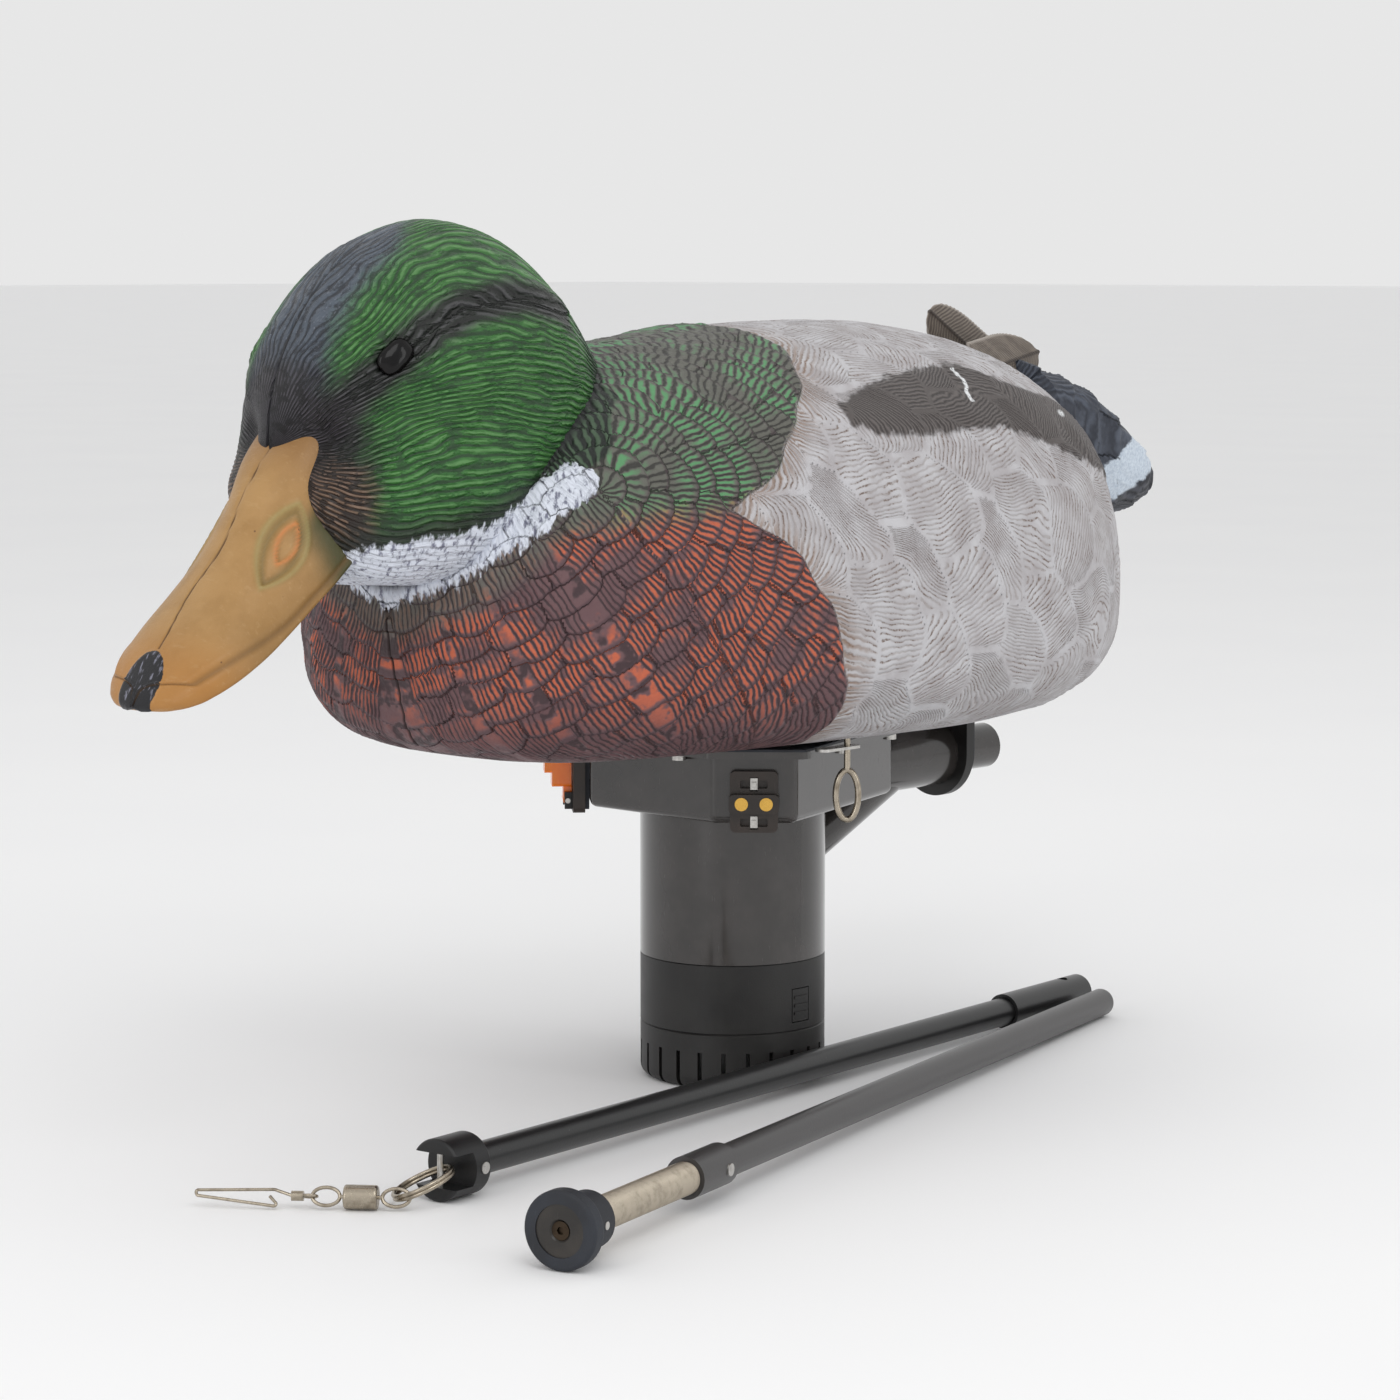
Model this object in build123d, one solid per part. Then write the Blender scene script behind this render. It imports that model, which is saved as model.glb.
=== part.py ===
from build123d import *
import math
import os

# A swimming drake decoy: a hollow moulded duck stands on a submersible pump whose rear jet drives it,
# with the two halves of its tether pole lying beside the pump. Millimetres. The centre of the pump's
# foot is at the origin, the duck faces -Y, its left side is +X and +Z is up.

# ---- Duck shell ----
WALL = 3.0                      # moulded wall
SECTION_POINTS = 24             # points on each cross section
BACK_CURVE = 2.1                # roundness of the back: 2 is an ellipse, larger is squarer
HULL_CURVE = 3.0                # roundness of the bilge
# Cross sections of the body: y, half width, lowest z, highest z, height of the widest line (0 to 1)
BODY_SECTIONS = [
    (-196, 24, 190, 236, 0.50), (-190, 52, 169, 256, 0.46), (-174, 80, 157, 278, 0.42),
    (-148, 97, 152, 298, 0.38), (-110, 108, 150, 311, 0.36), (-50, 117, 149, 321, 0.34),
    (20, 121, 148, 325, 0.33), (75, 119, 148, 324, 0.33), (115, 111, 151, 318, 0.33),
    (146, 96, 157, 308, 0.35), (170, 75, 167, 297, 0.37), (186, 52, 181, 284, 0.40),
    (195, 26, 198, 268, 0.45),
]
# Cross sections of the head, in the same form
HEAD_SECTIONS = [
    (-257, 14, 258, 300, 0.45), (-251, 27, 243, 317, 0.45), (-237, 40, 230, 337, 0.45),
    (-214, 51, 226, 356, 0.45), (-188, 55, 226, 366, 0.42), (-160, 54, 230, 364, 0.40),
    (-134, 47, 240, 351, 0.38), (-114, 36, 252, 332, 0.38), (-102, 22, 266, 312, 0.42),
]
# The bill runs from its root to its tip. Each section: part of the way, half width,
# half thickness, and how far its middle is raised square to the line from root to tip
BILL_ROOT = Vector(0, -243, 281)
BILL_TIP = Vector(0, -315, 190)
BILL_SECTIONS = [
    (0.0, 24, 19.5, -11.5), (0.22, 26, 19.5, -9), (0.42, 27, 17, -7), (0.62, 29, 14, -6),
    (0.82, 30, 8.7, -2.6), (0.94, 25, 5.5, -1.5), (1.0, 13, 2.5, 0),
]
BILL_HOLLOW_STATIONS = 5        # the tip beyond the fifth section is solid
# The tail wedge: y, half width, middle z, half thickness
TAIL_SECTIONS = [
    (168, 44, 282, 24), (200, 44, 277, 18), (228, 42, 264, 11), (250, 33, 253, 6), (264, 16, 247, 3.5),
]
# The raised wing tips on the rump: root, tip, half width
WING_TIPS = [
    (Vector(20, 150, 294), Vector(16, 189, 311), 15),
    (Vector(-18, 138, 298), Vector(-16, 171, 328), 12),
]
NECK_Y, NECK_HALF_X, NECK_HALF_Y, NECK_TOP_Z = -170, 42, 34, 258
LANDING_Z = 150.0               # underside of the flat landing that takes the housing's flange
LANDING_T = 6.0

# ---- Drive housing ----
CAN_R, CAN_WALL = 40.0, 2.6
FOOT_TOP_Z = 24.0               # strainer's top edge
RING_TOP_Z = 54.0               # volute ring's top edge
BOX_BOTTOM_Z, BOX_TOP_Z = 118.0, 146.0
BOX_PLAN = [(-36, -51), (36, -51), (62, -28), (30, 71), (-30, 71), (-62, -28)]
BOX_WALL = 2.8
FLANGE_T, FLANGE_GROW = 3.0, 6.5
BAY_TOP_Z, BAY_INSET = 186.0, 4.0   # battery bay that stands up inside the hull
LID_T, SEAL_T = 3.0, 1.0
SCREW_R, SCREW_HEAD_R, SCREW_HEAD_H = 1.5, 2.9, 2.2
BAY_BOSSES = [(-29, -41), (29, -41), (50, -24), (23, 60), (-23, 60), (-50, -24)]
FLANGE_HOLES = [(-20, -54.4), (20, -54.4), (53.6, 10), (37.5, 60), (-37.5, 60), (-53.6, 10)]

# ---- Motor and pump ----
SHAFT_R, BUSH_BORE_R = 2.0, 2.05
MOTOR_R, MOTOR_WALL, MOTOR_Z0, MOTOR_Z1 = 18.0, 1.5, 56.0, 108.0
ROTOR_R, ROTOR_Z0, ROTOR_Z1, ROTOR_SLOTS = 11.0, 68.0, 96.0, 7
MAGNET_R0, MAGNET_R1, MAGNET_ARC = 12.0, 16.3, 120.0
BUSH_R, BUSH_H = 5.0, 6.0
PLATE_Z = 50.0                  # underside of the volute's top plate
SEAL_R, SEAL_LIP_R = 6.5, 4.5
IMPELLER_R, IMPELLER_Z0, IMPELLER_Z1, VANES = 23.0, 31.0, 46.0, 5
INLET_R = 12.0
FOOT_SLOTS, FOOT_SLOT_W, FOOT_SLOT_TOP_Z = 24, 1.9, 16.0
TAB_Z0, TAB_Z1, TAB_HALF_W, TAB_GAP = 28.0, 42.0, 5.0, 0.4

# ---- Jet line ----
JET_Z, JET_R, JET_BORE_R, JET_END_Y = 128.0, 10.3, 8.5, 170.0
SOCKET_R, SOCKET_Y0, SOCKET_Y1 = 15.0, 71.2, 134.0
DUCT_R, DUCT_BORE_R = 10.0, 8.0
DUCT_FOOT, DUCT_HEAD = Vector(0, 36, 90.5), Vector(0, 113.7, JET_Z)
DUCT_RUN = DUCT_HEAD - DUCT_FOOT
PLATE_T, PLATE_HALF_W, PLATE_BOTTOM_Z = 5.0, 21.0, 108.0
TAB_PAD_Z = 152.0               # underside of the hull pad that takes the bracket

# ---- Controls on the housing's two front chamfers ----
CHAMFER_A, CHAMFER_B = Vector(*BOX_PLAN[1]), Vector(*BOX_PLAN[2])
CHAMFER_MID = (CHAMFER_A + CHAMFER_B) * 0.5
CHAMFER_OUT = (CHAMFER_B - CHAMFER_A).cross(Vector(0, 0, 1)).normalized()
CONTACT_R, CONTACT_PITCH = 2.75, 10.3
PIN_R, PIN_OUT, PIN_Z = 1.1, 7.6, 119.6

# ---- Tether eye ----
EYE_X, EYE_Y, EYE_WIRE_R = 71.8, -7.0, 1.35
EYE_Z, EYE_HALF_W, EYE_HALF_H = 129.2, 4.7, 10.4

# ---- Tether pole: two halves of half-inch tube ----
TUBE_R, TUBE_BORE_R = 6.35, 5.35
FORK_FACE, A_END = Vector(80, -249, 12.2), Vector(20, 217, 8.3)
FORK_R, FORK_L, FORK_SLOT_H, FORK_SLOT_L = 12.0, 19.0, 13.0, 10.0
FERRULE_R, FERRULE_BORE_R, FERRULE_L, SOCKET_DEPTH = 8.0, 6.55, 66.0, 36.0
CAP_FACE, B_END = Vector(186, -288, 14.7), Vector(39, 212, 6.5)
CAP_R, CAP_NECK_R, CAP_FLANGE_L, CAP_L = 14.5, 10.6, 7.0, 21.6
SPRING_R, SPRING_BORE_R, SPRING_L = 6.4, 4.6, 74.0
SLEEVE_R, SLEEVE_L, SPIGOT_R = 8.2, 28.0, 5.9   # the tube is swaged down to a spigot in its sleeve
MAGNET_DISC_R, MAGNET_DISC_T = 9.6, 4.0

# ---- Split ring, swivel and snap ----
RING_WIRE_R, RING_R = 0.8, 11.9
LINK_WIRE_R, LINK_STEM_R = 0.7, 0.75
EYE_LOOP_L, EYE_LOOP_W = 5.2, 3.4   # half length and half width of a swivel eye
BARREL_R, BARREL_L = 4.6, 12.8
SNAP_WIRE_R = 0.6
CHAIN = Vector(-0.78, -0.625, 0).normalized()           # the way the swivel and snap lie
RING_TOP_GAP = 5.4              # the ring's wire passes this far behind the fork's face
RING_LOW = Vector(80.2, -266.4, 4.9)                    # where the ring passes through the swivel's eye
RING_ACROSS = Vector(0.93, -0.1, 0.25)

os.makedirs("parts", exist_ok=True)


def save(name, *items):
    """Write one node: a single solid, or a group of separate solids."""
    solids = [solid for item in items for solid in item.solids()]
    export_step(solids[0] if len(solids) == 1 else Compound(solids), f"parts/{name}.step")


def cyl(radius, z0, z1, x=0.0, y=0.0):
    """An upright cylinder between two heights."""
    return Pos(x, y, (z0 + z1) / 2) * Cylinder(radius, z1 - z0)


def ring(radius, bore, z0, z1, x=0.0, y=0.0):
    """An upright tube between two heights."""
    return cyl(radius, z0, z1, x, y) - cyl(bore, z0 - 1, z1 + 1, x, y)


def block(x0, x1, y0, y1, z0, z1):
    """A box between two corners."""
    return Pos((x0 + x1) / 2, (y0 + y1) / 2, (z0 + z1) / 2) * Box(x1 - x0, y1 - y0, z1 - z0)


def prism(points, z0, z1, grow=0.0):
    """A prism over a plan outline, grown outwards by an amount."""
    plan = make_face(Polyline(*points, close=True))
    if grow:
        plan = offset(plan, grow, kind=Kind.INTERSECTION)
    return Pos(0, 0, z0) * extrude(plan, z1 - z0)


def rod(radius, start, end, bore=0.0):
    """A round rod, or a tube with a bore, between two points."""
    plane = Plane(origin=start, z_dir=end - start)
    length = (end - start).length
    solid = extrude(plane * Circle(radius), length)
    if bore:
        solid -= extrude(plane.offset(-1) * Circle(bore), length + 2)
    return solid


def wire_loop(centre, along, across, half_l, half_w, wire_r):
    """An oval loop of wire, from its centre and its two in-plane directions."""
    plane = Plane(origin=centre, x_dir=across, z_dir=across.cross(along))
    path = plane * Ellipse(half_w, half_l).edge()
    start = Plane(origin=path @ 0, z_dir=path % 0)
    return sweep(start * Circle(wire_r), path=path)


def screw(x, y, z_head, z_tip):
    """A pan-head screw: the head sits against z_head and the shank reaches z_tip."""
    z_crown = z_head + math.copysign(SCREW_HEAD_H, z_head - z_tip)
    head = cyl(SCREW_HEAD_R, *sorted((z_head, z_crown)), x, y)
    return head + cyl(SCREW_R, *sorted((z_head, z_tip)), x, y)


# ================================ Duck ================================
def section(y, half_w, z_low, z_high, widest, inset=0.0):
    """One cross section of the duck: a rounded outline, fuller at the bilge than at the back."""
    half_w, z_low, z_high = half_w - inset, z_low + inset, z_high - inset
    z_mid = z_low + (z_high - z_low) * widest
    points = []
    for i in range(SECTION_POINTS):
        angle = 2 * math.pi * (i + 0.5) / SECTION_POINTS
        c, s = math.cos(angle), math.sin(angle)
        power = 2 / (BACK_CURVE if s > 0 else HULL_CURVE)
        reach = z_high - z_mid if s > 0 else z_mid - z_low
        points.append(Vector(half_w * math.copysign(abs(c) ** power, c), y,
                             z_mid + reach * math.copysign(abs(s) ** power, s)))
    return make_face(Spline(*points, periodic=True))


def skin(sections, inset=0.0):
    """The closed form through the sections, or the form one wall thickness inside it."""
    middle = (sections[0][0] + sections[-1][0]) / 2
    half = (sections[-1][0] - sections[0][0]) / 2
    shrink = (half - inset) / half
    return loft([section(middle + (y - middle) * shrink, *rest, inset=inset) for y, *rest in sections])


def bill(inset=0.0, stations=len(BILL_SECTIONS)):
    """The bill, or its hollow, as a loft of ovals square to its axis."""
    axis = BILL_TIP - BILL_ROOT
    ovals = []
    for part_way, half_w, half_t, rise in BILL_SECTIONS[:stations]:
        plane = Plane(origin=BILL_ROOT + axis * part_way, x_dir=(1, 0, 0), z_dir=axis)
        ovals.append(plane * Pos(0, rise) * Ellipse(half_w - inset, half_t - inset))
    return loft(ovals)


def wing_tip(root, tip, half_w):
    """A raised feather: a flat oval blade that narrows to its tip."""
    ovals = []
    for part_way, width, thick in ((0.0, 1.0, 4.0), (0.5, 1.0, 2.6), (1.0, 0.45, 1.2)):
        plane = Plane(origin=root + (tip - root) * part_way, x_dir=(1, 0, 0), z_dir=tip - root)
        ovals.append(plane * Ellipse(half_w * width, thick))
    return loft(ovals)


def build_duck():
    tail = loft([Plane(origin=(0, y, z), x_dir=(1, 0, 0), z_dir=(0, 1, 0)) * Ellipse(half_w, half_t)
                 for y, half_w, z, half_t in TAIL_SECTIONS])
    neck = Pos(0, NECK_Y, 225) * extrude(Ellipse(NECK_HALF_X, NECK_HALF_Y), NECK_TOP_Z - 225)
    neck_bore = Pos(0, NECK_Y, 220) * extrude(Ellipse(NECK_HALF_X - WALL, NECK_HALF_Y - WALL), 50)
    solid = skin(BODY_SECTIONS) + tail
    for root, tip, half_w in WING_TIPS:
        solid += wing_tip(root, tip, half_w)
    body = (solid + neck) - skin(BODY_SECTIONS, WALL) - neck_bore
    body += prism(BOX_PLAN, LANDING_Z, LANDING_Z + LANDING_T, FLANGE_GROW + 2)
    body += block(-25, 25, 124, 160, TAB_PAD_Z, TAB_PAD_Z + 12)
    body -= prism(BOX_PLAN, LANDING_Z - 10, LANDING_Z, FLANGE_GROW + 3)
    body -= prism(BOX_PLAN, LANDING_Z - 10, LANDING_Z + 20, -BAY_INSET + 0.6)
    body -= block(-26, 26, 123, 161, TAB_PAD_Z - 10, TAB_PAD_Z)
    for x, y in FLANGE_HOLES:
        body -= cyl(SCREW_R, LANDING_Z - 1, LANDING_Z + LANDING_T - 1, x, y)
    for x in (-14, 14):
        body -= cyl(SCREW_R, TAB_PAD_Z - 1, TAB_PAD_Z + 9, x, 151)
    body -= cyl(EYE_WIRE_R, LANDING_Z - 5, LANDING_Z + 20, EYE_X, EYE_Y)
    save("body_shell", body)

    head = skin(HEAD_SECTIONS) + bill()
    head -= skin(HEAD_SECTIONS, WALL) + bill(WALL, BILL_HOLLOW_STATIONS)
    head -= solid + neck
    save("head_shell", max(head.solids(), key=lambda s: s.volume))


# ============================ Drive housing ============================
def build_housing():
    box = prism(BOX_PLAN, BOX_BOTTOM_Z, BOX_TOP_Z)
    box = fillet(box.edges().filter_by(Axis.Z), 4)
    box = fillet(box.faces().sort_by(Axis.Z)[0].edges(), 3.5)
    flange = prism(BOX_PLAN, BOX_TOP_Z, BOX_TOP_Z + FLANGE_T, FLANGE_GROW)
    flange = fillet(flange.edges().filter_by(Axis.Z), 5)
    bay = prism(BOX_PLAN, BOX_TOP_Z, BAY_TOP_Z, -BAY_INSET)
    can = cyl(CAN_R, RING_TOP_Z, BOX_BOTTOM_Z + 4)
    housing = can + box + flange + bay
    inner_grow = -BAY_INSET - BOX_WALL
    housing -= prism(BOX_PLAN, BOX_BOTTOM_Z + BOX_WALL, BAY_TOP_Z + 1, inner_grow)
    housing -= cyl(CAN_R - CAN_WALL, RING_TOP_Z - 1, BOX_BOTTOM_Z + 4)
    room = prism(BOX_PLAN, BOX_BOTTOM_Z + BOX_WALL, BAY_TOP_Z, -BAY_INSET)
    for x, y in BAY_BOSSES:
        boss = ring(3.6, SCREW_R, BOX_BOTTOM_Z + BOX_WALL, BAY_TOP_Z, x, y)
        housing = housing + (boss & room) - cyl(SCREW_R, BAY_TOP_Z - 12, BAY_TOP_Z + 1, x, y)
    for x, y in FLANGE_HOLES:
        housing -= cyl(SCREW_R, BOX_TOP_Z - 1, BOX_TOP_Z + FLANGE_T + 1, x, y)
    housing -= rod(DUCT_R, DUCT_FOOT - DUCT_RUN * 0.3, DUCT_FOOT + DUCT_RUN * 0.2)
    for side in (1, -1):
        housing -= rod(6.0, chamfer_point(side, 0, 131, -12), chamfer_point(side, 0, 131, 1))
    save("drive_housing", housing)

    gasket = prism(BOX_PLAN, BAY_TOP_Z, BAY_TOP_Z + SEAL_T, -BAY_INSET)
    gasket -= prism(BOX_PLAN, BAY_TOP_Z - 1, BAY_TOP_Z + 2, inner_grow - 4)
    lid = prism(BOX_PLAN, BAY_TOP_Z + SEAL_T, BAY_TOP_Z + SEAL_T + LID_T, -BAY_INSET)
    lid = fillet(lid.edges().filter_by(Axis.Z), 3)
    for x, y in BAY_BOSSES:
        gasket -= cyl(SCREW_R, BAY_TOP_Z - 1, BAY_TOP_Z + 2, x, y)
        lid -= cyl(SCREW_R, BAY_TOP_Z - 1, BAY_TOP_Z + 10, x, y)
    save("lid_gasket", max(gasket.solids(), key=lambda s: s.volume))
    save("housing_lid", lid)
    lid_top = BAY_TOP_Z + SEAL_T + LID_T
    save("lid_screws", *[screw(x, y, lid_top, BAY_TOP_Z - 10) for x, y in BAY_BOSSES])

    seal = prism(BOX_PLAN, BOX_TOP_Z + FLANGE_T, LANDING_Z, FLANGE_GROW)
    seal -= prism(BOX_PLAN, BOX_TOP_Z, LANDING_Z + 1, -BAY_INSET)
    for x, y in FLANGE_HOLES:
        seal -= cyl(SCREW_R, BOX_TOP_Z, LANDING_Z + 1, x, y)
    save("hull_gasket", seal)
    save("flange_screws", *[screw(x, y, BOX_TOP_Z, LANDING_Z + LANDING_T - 1) for x, y in FLANGE_HOLES])


def build_electrics():
    floor_z = BOX_BOTTOM_Z + BOX_WALL
    tray = block(-34, 34, -35, 36, floor_z, floor_z + 2)
    for y in (-35, 34):
        tray += block(-34, 34, y, y + 2, floor_z, floor_z + 28)
    for x in (-31, 31):
        for y in (-31, 32):
            tray += cyl(2.4, floor_z, floor_z + 38, x, y)
    save("battery_tray", tray)
    cell_r, cell_l, columns = 7.2, 50.0, 4
    cells = []
    for layer in range(2):
        for column in range(columns):
            y = (column - (columns - 1) / 2) * (2 * cell_r + 0.3) + 0.5
            z = floor_z + 2 + cell_r + layer * (2 * cell_r + 0.2)
            cells.append(rod(cell_r, Vector(-cell_l / 2, y, z), Vector(cell_l / 2, y, z)))
            cells[-1] += rod(2.6, Vector(cell_l / 2, y, z), Vector(cell_l / 2 + 1.2, y, z))
    save("battery_cells", *cells)
    board_z = floor_z + 38
    board = block(-33, 33, -35, 36, board_z, board_z + 1.6)
    board += block(-24, -9, -26, -6, board_z, board_z + 16)
    board += cyl(5, board_z, board_z + 15, 8, -16)
    board += block(-6, 14, 4, 18, board_z, board_z + 3.4)
    board += block(18, 26, 2, 24, board_z, board_z + 8)
    save("control_board", board)


# ============================ Motor and pump ============================
def build_motor():
    case = ring(MOTOR_R, MOTOR_R - MOTOR_WALL, MOTOR_Z0, MOTOR_Z1)
    case += ring(MOTOR_R, BUSH_R, MOTOR_Z0, MOTOR_Z0 + 2.5)
    case += cyl(MOTOR_R, MOTOR_Z1 - 2, MOTOR_Z1)
    case += ring(BUSH_R + 3, BUSH_R, MOTOR_Z1 - 2 - BUSH_H, MOTOR_Z1 - 1.9)
    save("motor_case", case)
    top_bush = MOTOR_Z1 - 2 - BUSH_H
    save("motor_bushes", ring(BUSH_R, BUSH_BORE_R, MOTOR_Z0, MOTOR_Z0 + BUSH_H),
         ring(BUSH_R, BUSH_BORE_R, top_bush, top_bush + BUSH_H))
    magnet_ring = ring(MAGNET_R1, MAGNET_R0, ROTOR_Z0 - 2, ROTOR_Z1 + 2)
    gap_half_w = MAGNET_R1 * math.sin(math.radians((180 - MAGNET_ARC) / 2))
    save("motor_magnets", magnet_ring - block(-20, 20, -gap_half_w, gap_half_w, ROTOR_Z0 - 5, ROTOR_Z1 + 5))
    core = ring(ROTOR_R, SHAFT_R, ROTOR_Z0, ROTOR_Z1)
    for i in range(ROTOR_SLOTS):
        core -= Rot(0, 0, 360 * i / ROTOR_SLOTS) * block(6, 12, -1.2, 1.2, ROTOR_Z0 - 1, ROTOR_Z1 + 1)
    save("rotor_core", core)
    save("motor_shaft", cyl(SHAFT_R, IMPELLER_Z0 + 1, MOTOR_Z1 - 4))
    seal = ring(SEAL_R, BUSH_BORE_R, PLATE_Z, RING_TOP_Z)
    save("shaft_seal", seal + ring(SEAL_LIP_R, BUSH_BORE_R, PLATE_Z - 2, PLATE_Z))

    wheel = ring(IMPELLER_R, SHAFT_R, IMPELLER_Z0, IMPELLER_Z0 + 2)
    wheel += ring(6, SHAFT_R, IMPELLER_Z0, IMPELLER_Z1)
    for i in range(VANES):
        arc = ThreePointArc((5, 0), (14, 5.5), (IMPELLER_R - 0.4, 4))
        vane = Pos(0, 0, IMPELLER_Z0 + 1.5) * extrude(trace(arc, 1.8), 11.5)
        wheel += Rot(0, 0, 360 * i / VANES) * vane
    wheel -= cyl(SHAFT_R, IMPELLER_Z0 - 1, IMPELLER_Z1 + 1)
    save("impeller", wheel)

    bore = CAN_R - 2.8
    volute = ring(CAN_R, bore, FOOT_TOP_Z, RING_TOP_Z)
    volute += ring(bore + 0.1, SEAL_R, PLATE_Z, RING_TOP_Z)
    volute += ring(bore + 0.1, INLET_R, FOOT_TOP_Z, FOOT_TOP_Z + 2.5)
    volute += ring(MOTOR_R + 2.4, MOTOR_R + 0.1, RING_TOP_Z - 1, RING_TOP_Z + 14)
    volute -= cyl(5.5, PLATE_Z - 1, RING_TOP_Z + 1, 0, 28.4)
    volute -= cyl(SEAL_R, PLATE_Z - 3, RING_TOP_Z + 1)
    volute = chamfer(volute.edges().filter_by(GeomType.CIRCLE).filter_by(
        lambda e: abs(e.radius - CAN_R) < 0.01), 0.5)
    window = block(30, 44, -TAB_HALF_W - TAB_GAP, TAB_HALF_W + TAB_GAP, TAB_Z0 - TAB_GAP, TAB_Z1 + TAB_GAP)
    volute -= window + Rot(0, 0, 180) * window
    save("volute_ring", volute)
    for side, name in ((1, "release_tab_left"), (-1, "release_tab_right")):
        tab = cyl(CAN_R, TAB_Z0, TAB_Z1) - cyl(CAN_R - 2.4, TAB_Z0 - 1, TAB_Z1 + 1)
        tab &= block(30, 44, -TAB_HALF_W, TAB_HALF_W, TAB_Z0, TAB_Z1)
        for k in range(3):
            tab += (ring(CAN_R + 0.5, CAN_R - 1, TAB_Z0 + 3 + 3.4 * k, TAB_Z0 + 4.2 + 3.4 * k)
                    & block(30, 44, -TAB_HALF_W + 1, TAB_HALF_W - 1, TAB_Z0, TAB_Z1))
        save(name, tab if side > 0 else Rot(0, 0, 180) * tab)


def build_foot():
    foot = cyl(CAN_R, 0, FOOT_TOP_Z)
    foot = fillet(foot.edges().sort_by(Axis.Z)[0], 5)
    foot -= cyl(CAN_R - 2.6, 3, FOOT_TOP_Z + 1)
    for i in range(FOOT_SLOTS):
        slot = block(30, 45, -FOOT_SLOT_W / 2, FOOT_SLOT_W / 2, -1, FOOT_SLOT_TOP_Z)
        foot -= Rot(0, 0, 360 * (i + 0.5) / FOOT_SLOTS) * slot
    foot = chamfer(foot.edges().filter_by(GeomType.CIRCLE).filter_by(
        lambda e: abs(e.radius - CAN_R) < 0.01 and e.center().Z > FOOT_TOP_Z - 1), 0.5)
    save("strainer_basket", foot)


# ============================== Jet line ==============================
def build_jet():
    riser = block(-10, 10, 22, 34.6, RING_TOP_Z, 106)
    riser = fillet(riser.edges().filter_by(Axis.Z), 2)
    riser -= block(-8.4, 8.4, 23.6, 33.0, RING_TOP_Z - 1, 104.4)
    duct_mouth = block(-20, 20, 30, 60, 60, 130)
    riser -= rod(DUCT_BORE_R, DUCT_FOOT - DUCT_RUN * 0.1, DUCT_HEAD) & duct_mouth
    save("riser_duct", riser)
    outer = rod(DUCT_R, DUCT_FOOT - DUCT_RUN * 0.1, DUCT_HEAD)
    outer += rod(SOCKET_R, Vector(0, SOCKET_Y0, JET_Z), Vector(0, SOCKET_Y1, JET_Z))
    outer -= rod(DUCT_BORE_R, DUCT_FOOT - DUCT_RUN * 0.2, DUCT_HEAD)
    outer -= rod(12, Vector(0, SOCKET_Y0 + 2.5, JET_Z), Vector(0, 116, JET_Z))
    outer -= rod(JET_R, Vector(0, 110, JET_Z), Vector(0, SOCKET_Y1 + 1, JET_Z))
    outer -= block(-20, 20, 10, 34.7, 60, 130)
    outer -= prism(BOX_PLAN, BOX_BOTTOM_Z, BOX_TOP_Z) + cyl(CAN_R - CAN_WALL, 70, 80)
    save("discharge_duct", max(outer.solids(), key=lambda s: s.volume))
    nozzle = rod(JET_R, Vector(0, 117, JET_Z), Vector(0, JET_END_Y, JET_Z), JET_BORE_R)
    save("jet_nozzle", nozzle)

    def d_plate(y0, y1, grow):
        plate = rod(PLATE_HALF_W - 1 + grow, Vector(0, y0, JET_Z), Vector(0, y1, JET_Z))
        plate += block(-PLATE_HALF_W - grow + 1, PLATE_HALF_W + grow - 1, y0, y1, JET_Z, TAB_PAD_Z - 3)
        return plate - rod(JET_R, Vector(0, y0 - 1, JET_Z), Vector(0, y1 + 1, JET_Z))

    bracket = d_plate(SOCKET_Y1, SOCKET_Y1 + PLATE_T, 0)
    bracket += block(-20, 20, SOCKET_Y1, 158, TAB_PAD_Z - 3, TAB_PAD_Z)
    for x in (-14, 14):
        bracket -= cyl(SCREW_R, TAB_PAD_Z - 5, TAB_PAD_Z + 1, x, 151)
    save("nozzle_bracket", bracket)
    save("nozzle_washer", d_plate(SOCKET_Y1 + PLATE_T, SOCKET_Y1 + PLATE_T + 3.5, -2.5))
    save("bracket_screws", *[screw(x, 151, TAB_PAD_Z - 3, TAB_PAD_Z + 8) for x in (-14, 14)])


# ============================== Controls ==============================
def chamfer_plane(side, z, out):
    """A plane on a front chamfer: x along it, y up, z outwards. Side is 1 on the left, -1 on the right."""
    normal = Vector(side * CHAMFER_OUT.X, CHAMFER_OUT.Y, 0)
    origin = Vector(side * CHAMFER_MID.X, CHAMFER_MID.Y, z) + normal * out
    return Plane(origin=origin, x_dir=Vector(0, 0, 1).cross(normal), z_dir=normal)


def chamfer_point(side, along, z, out):
    """A point at a distance along a chamfer, at a height, and out from its face."""
    plane = chamfer_plane(side, z, out)
    return plane.origin + plane.x_dir * along


def pad(side, width, z0, z1, out0, out1, corner=0.0):
    """A slab on a chamfer, centred across it, with rounded corners."""
    shape = RectangleRounded(width, z1 - z0, corner) if corner else Rectangle(width, z1 - z0)
    return extrude(chamfer_plane(side, (z0 + z1) / 2, out0) * shape, out1 - out0)


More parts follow.
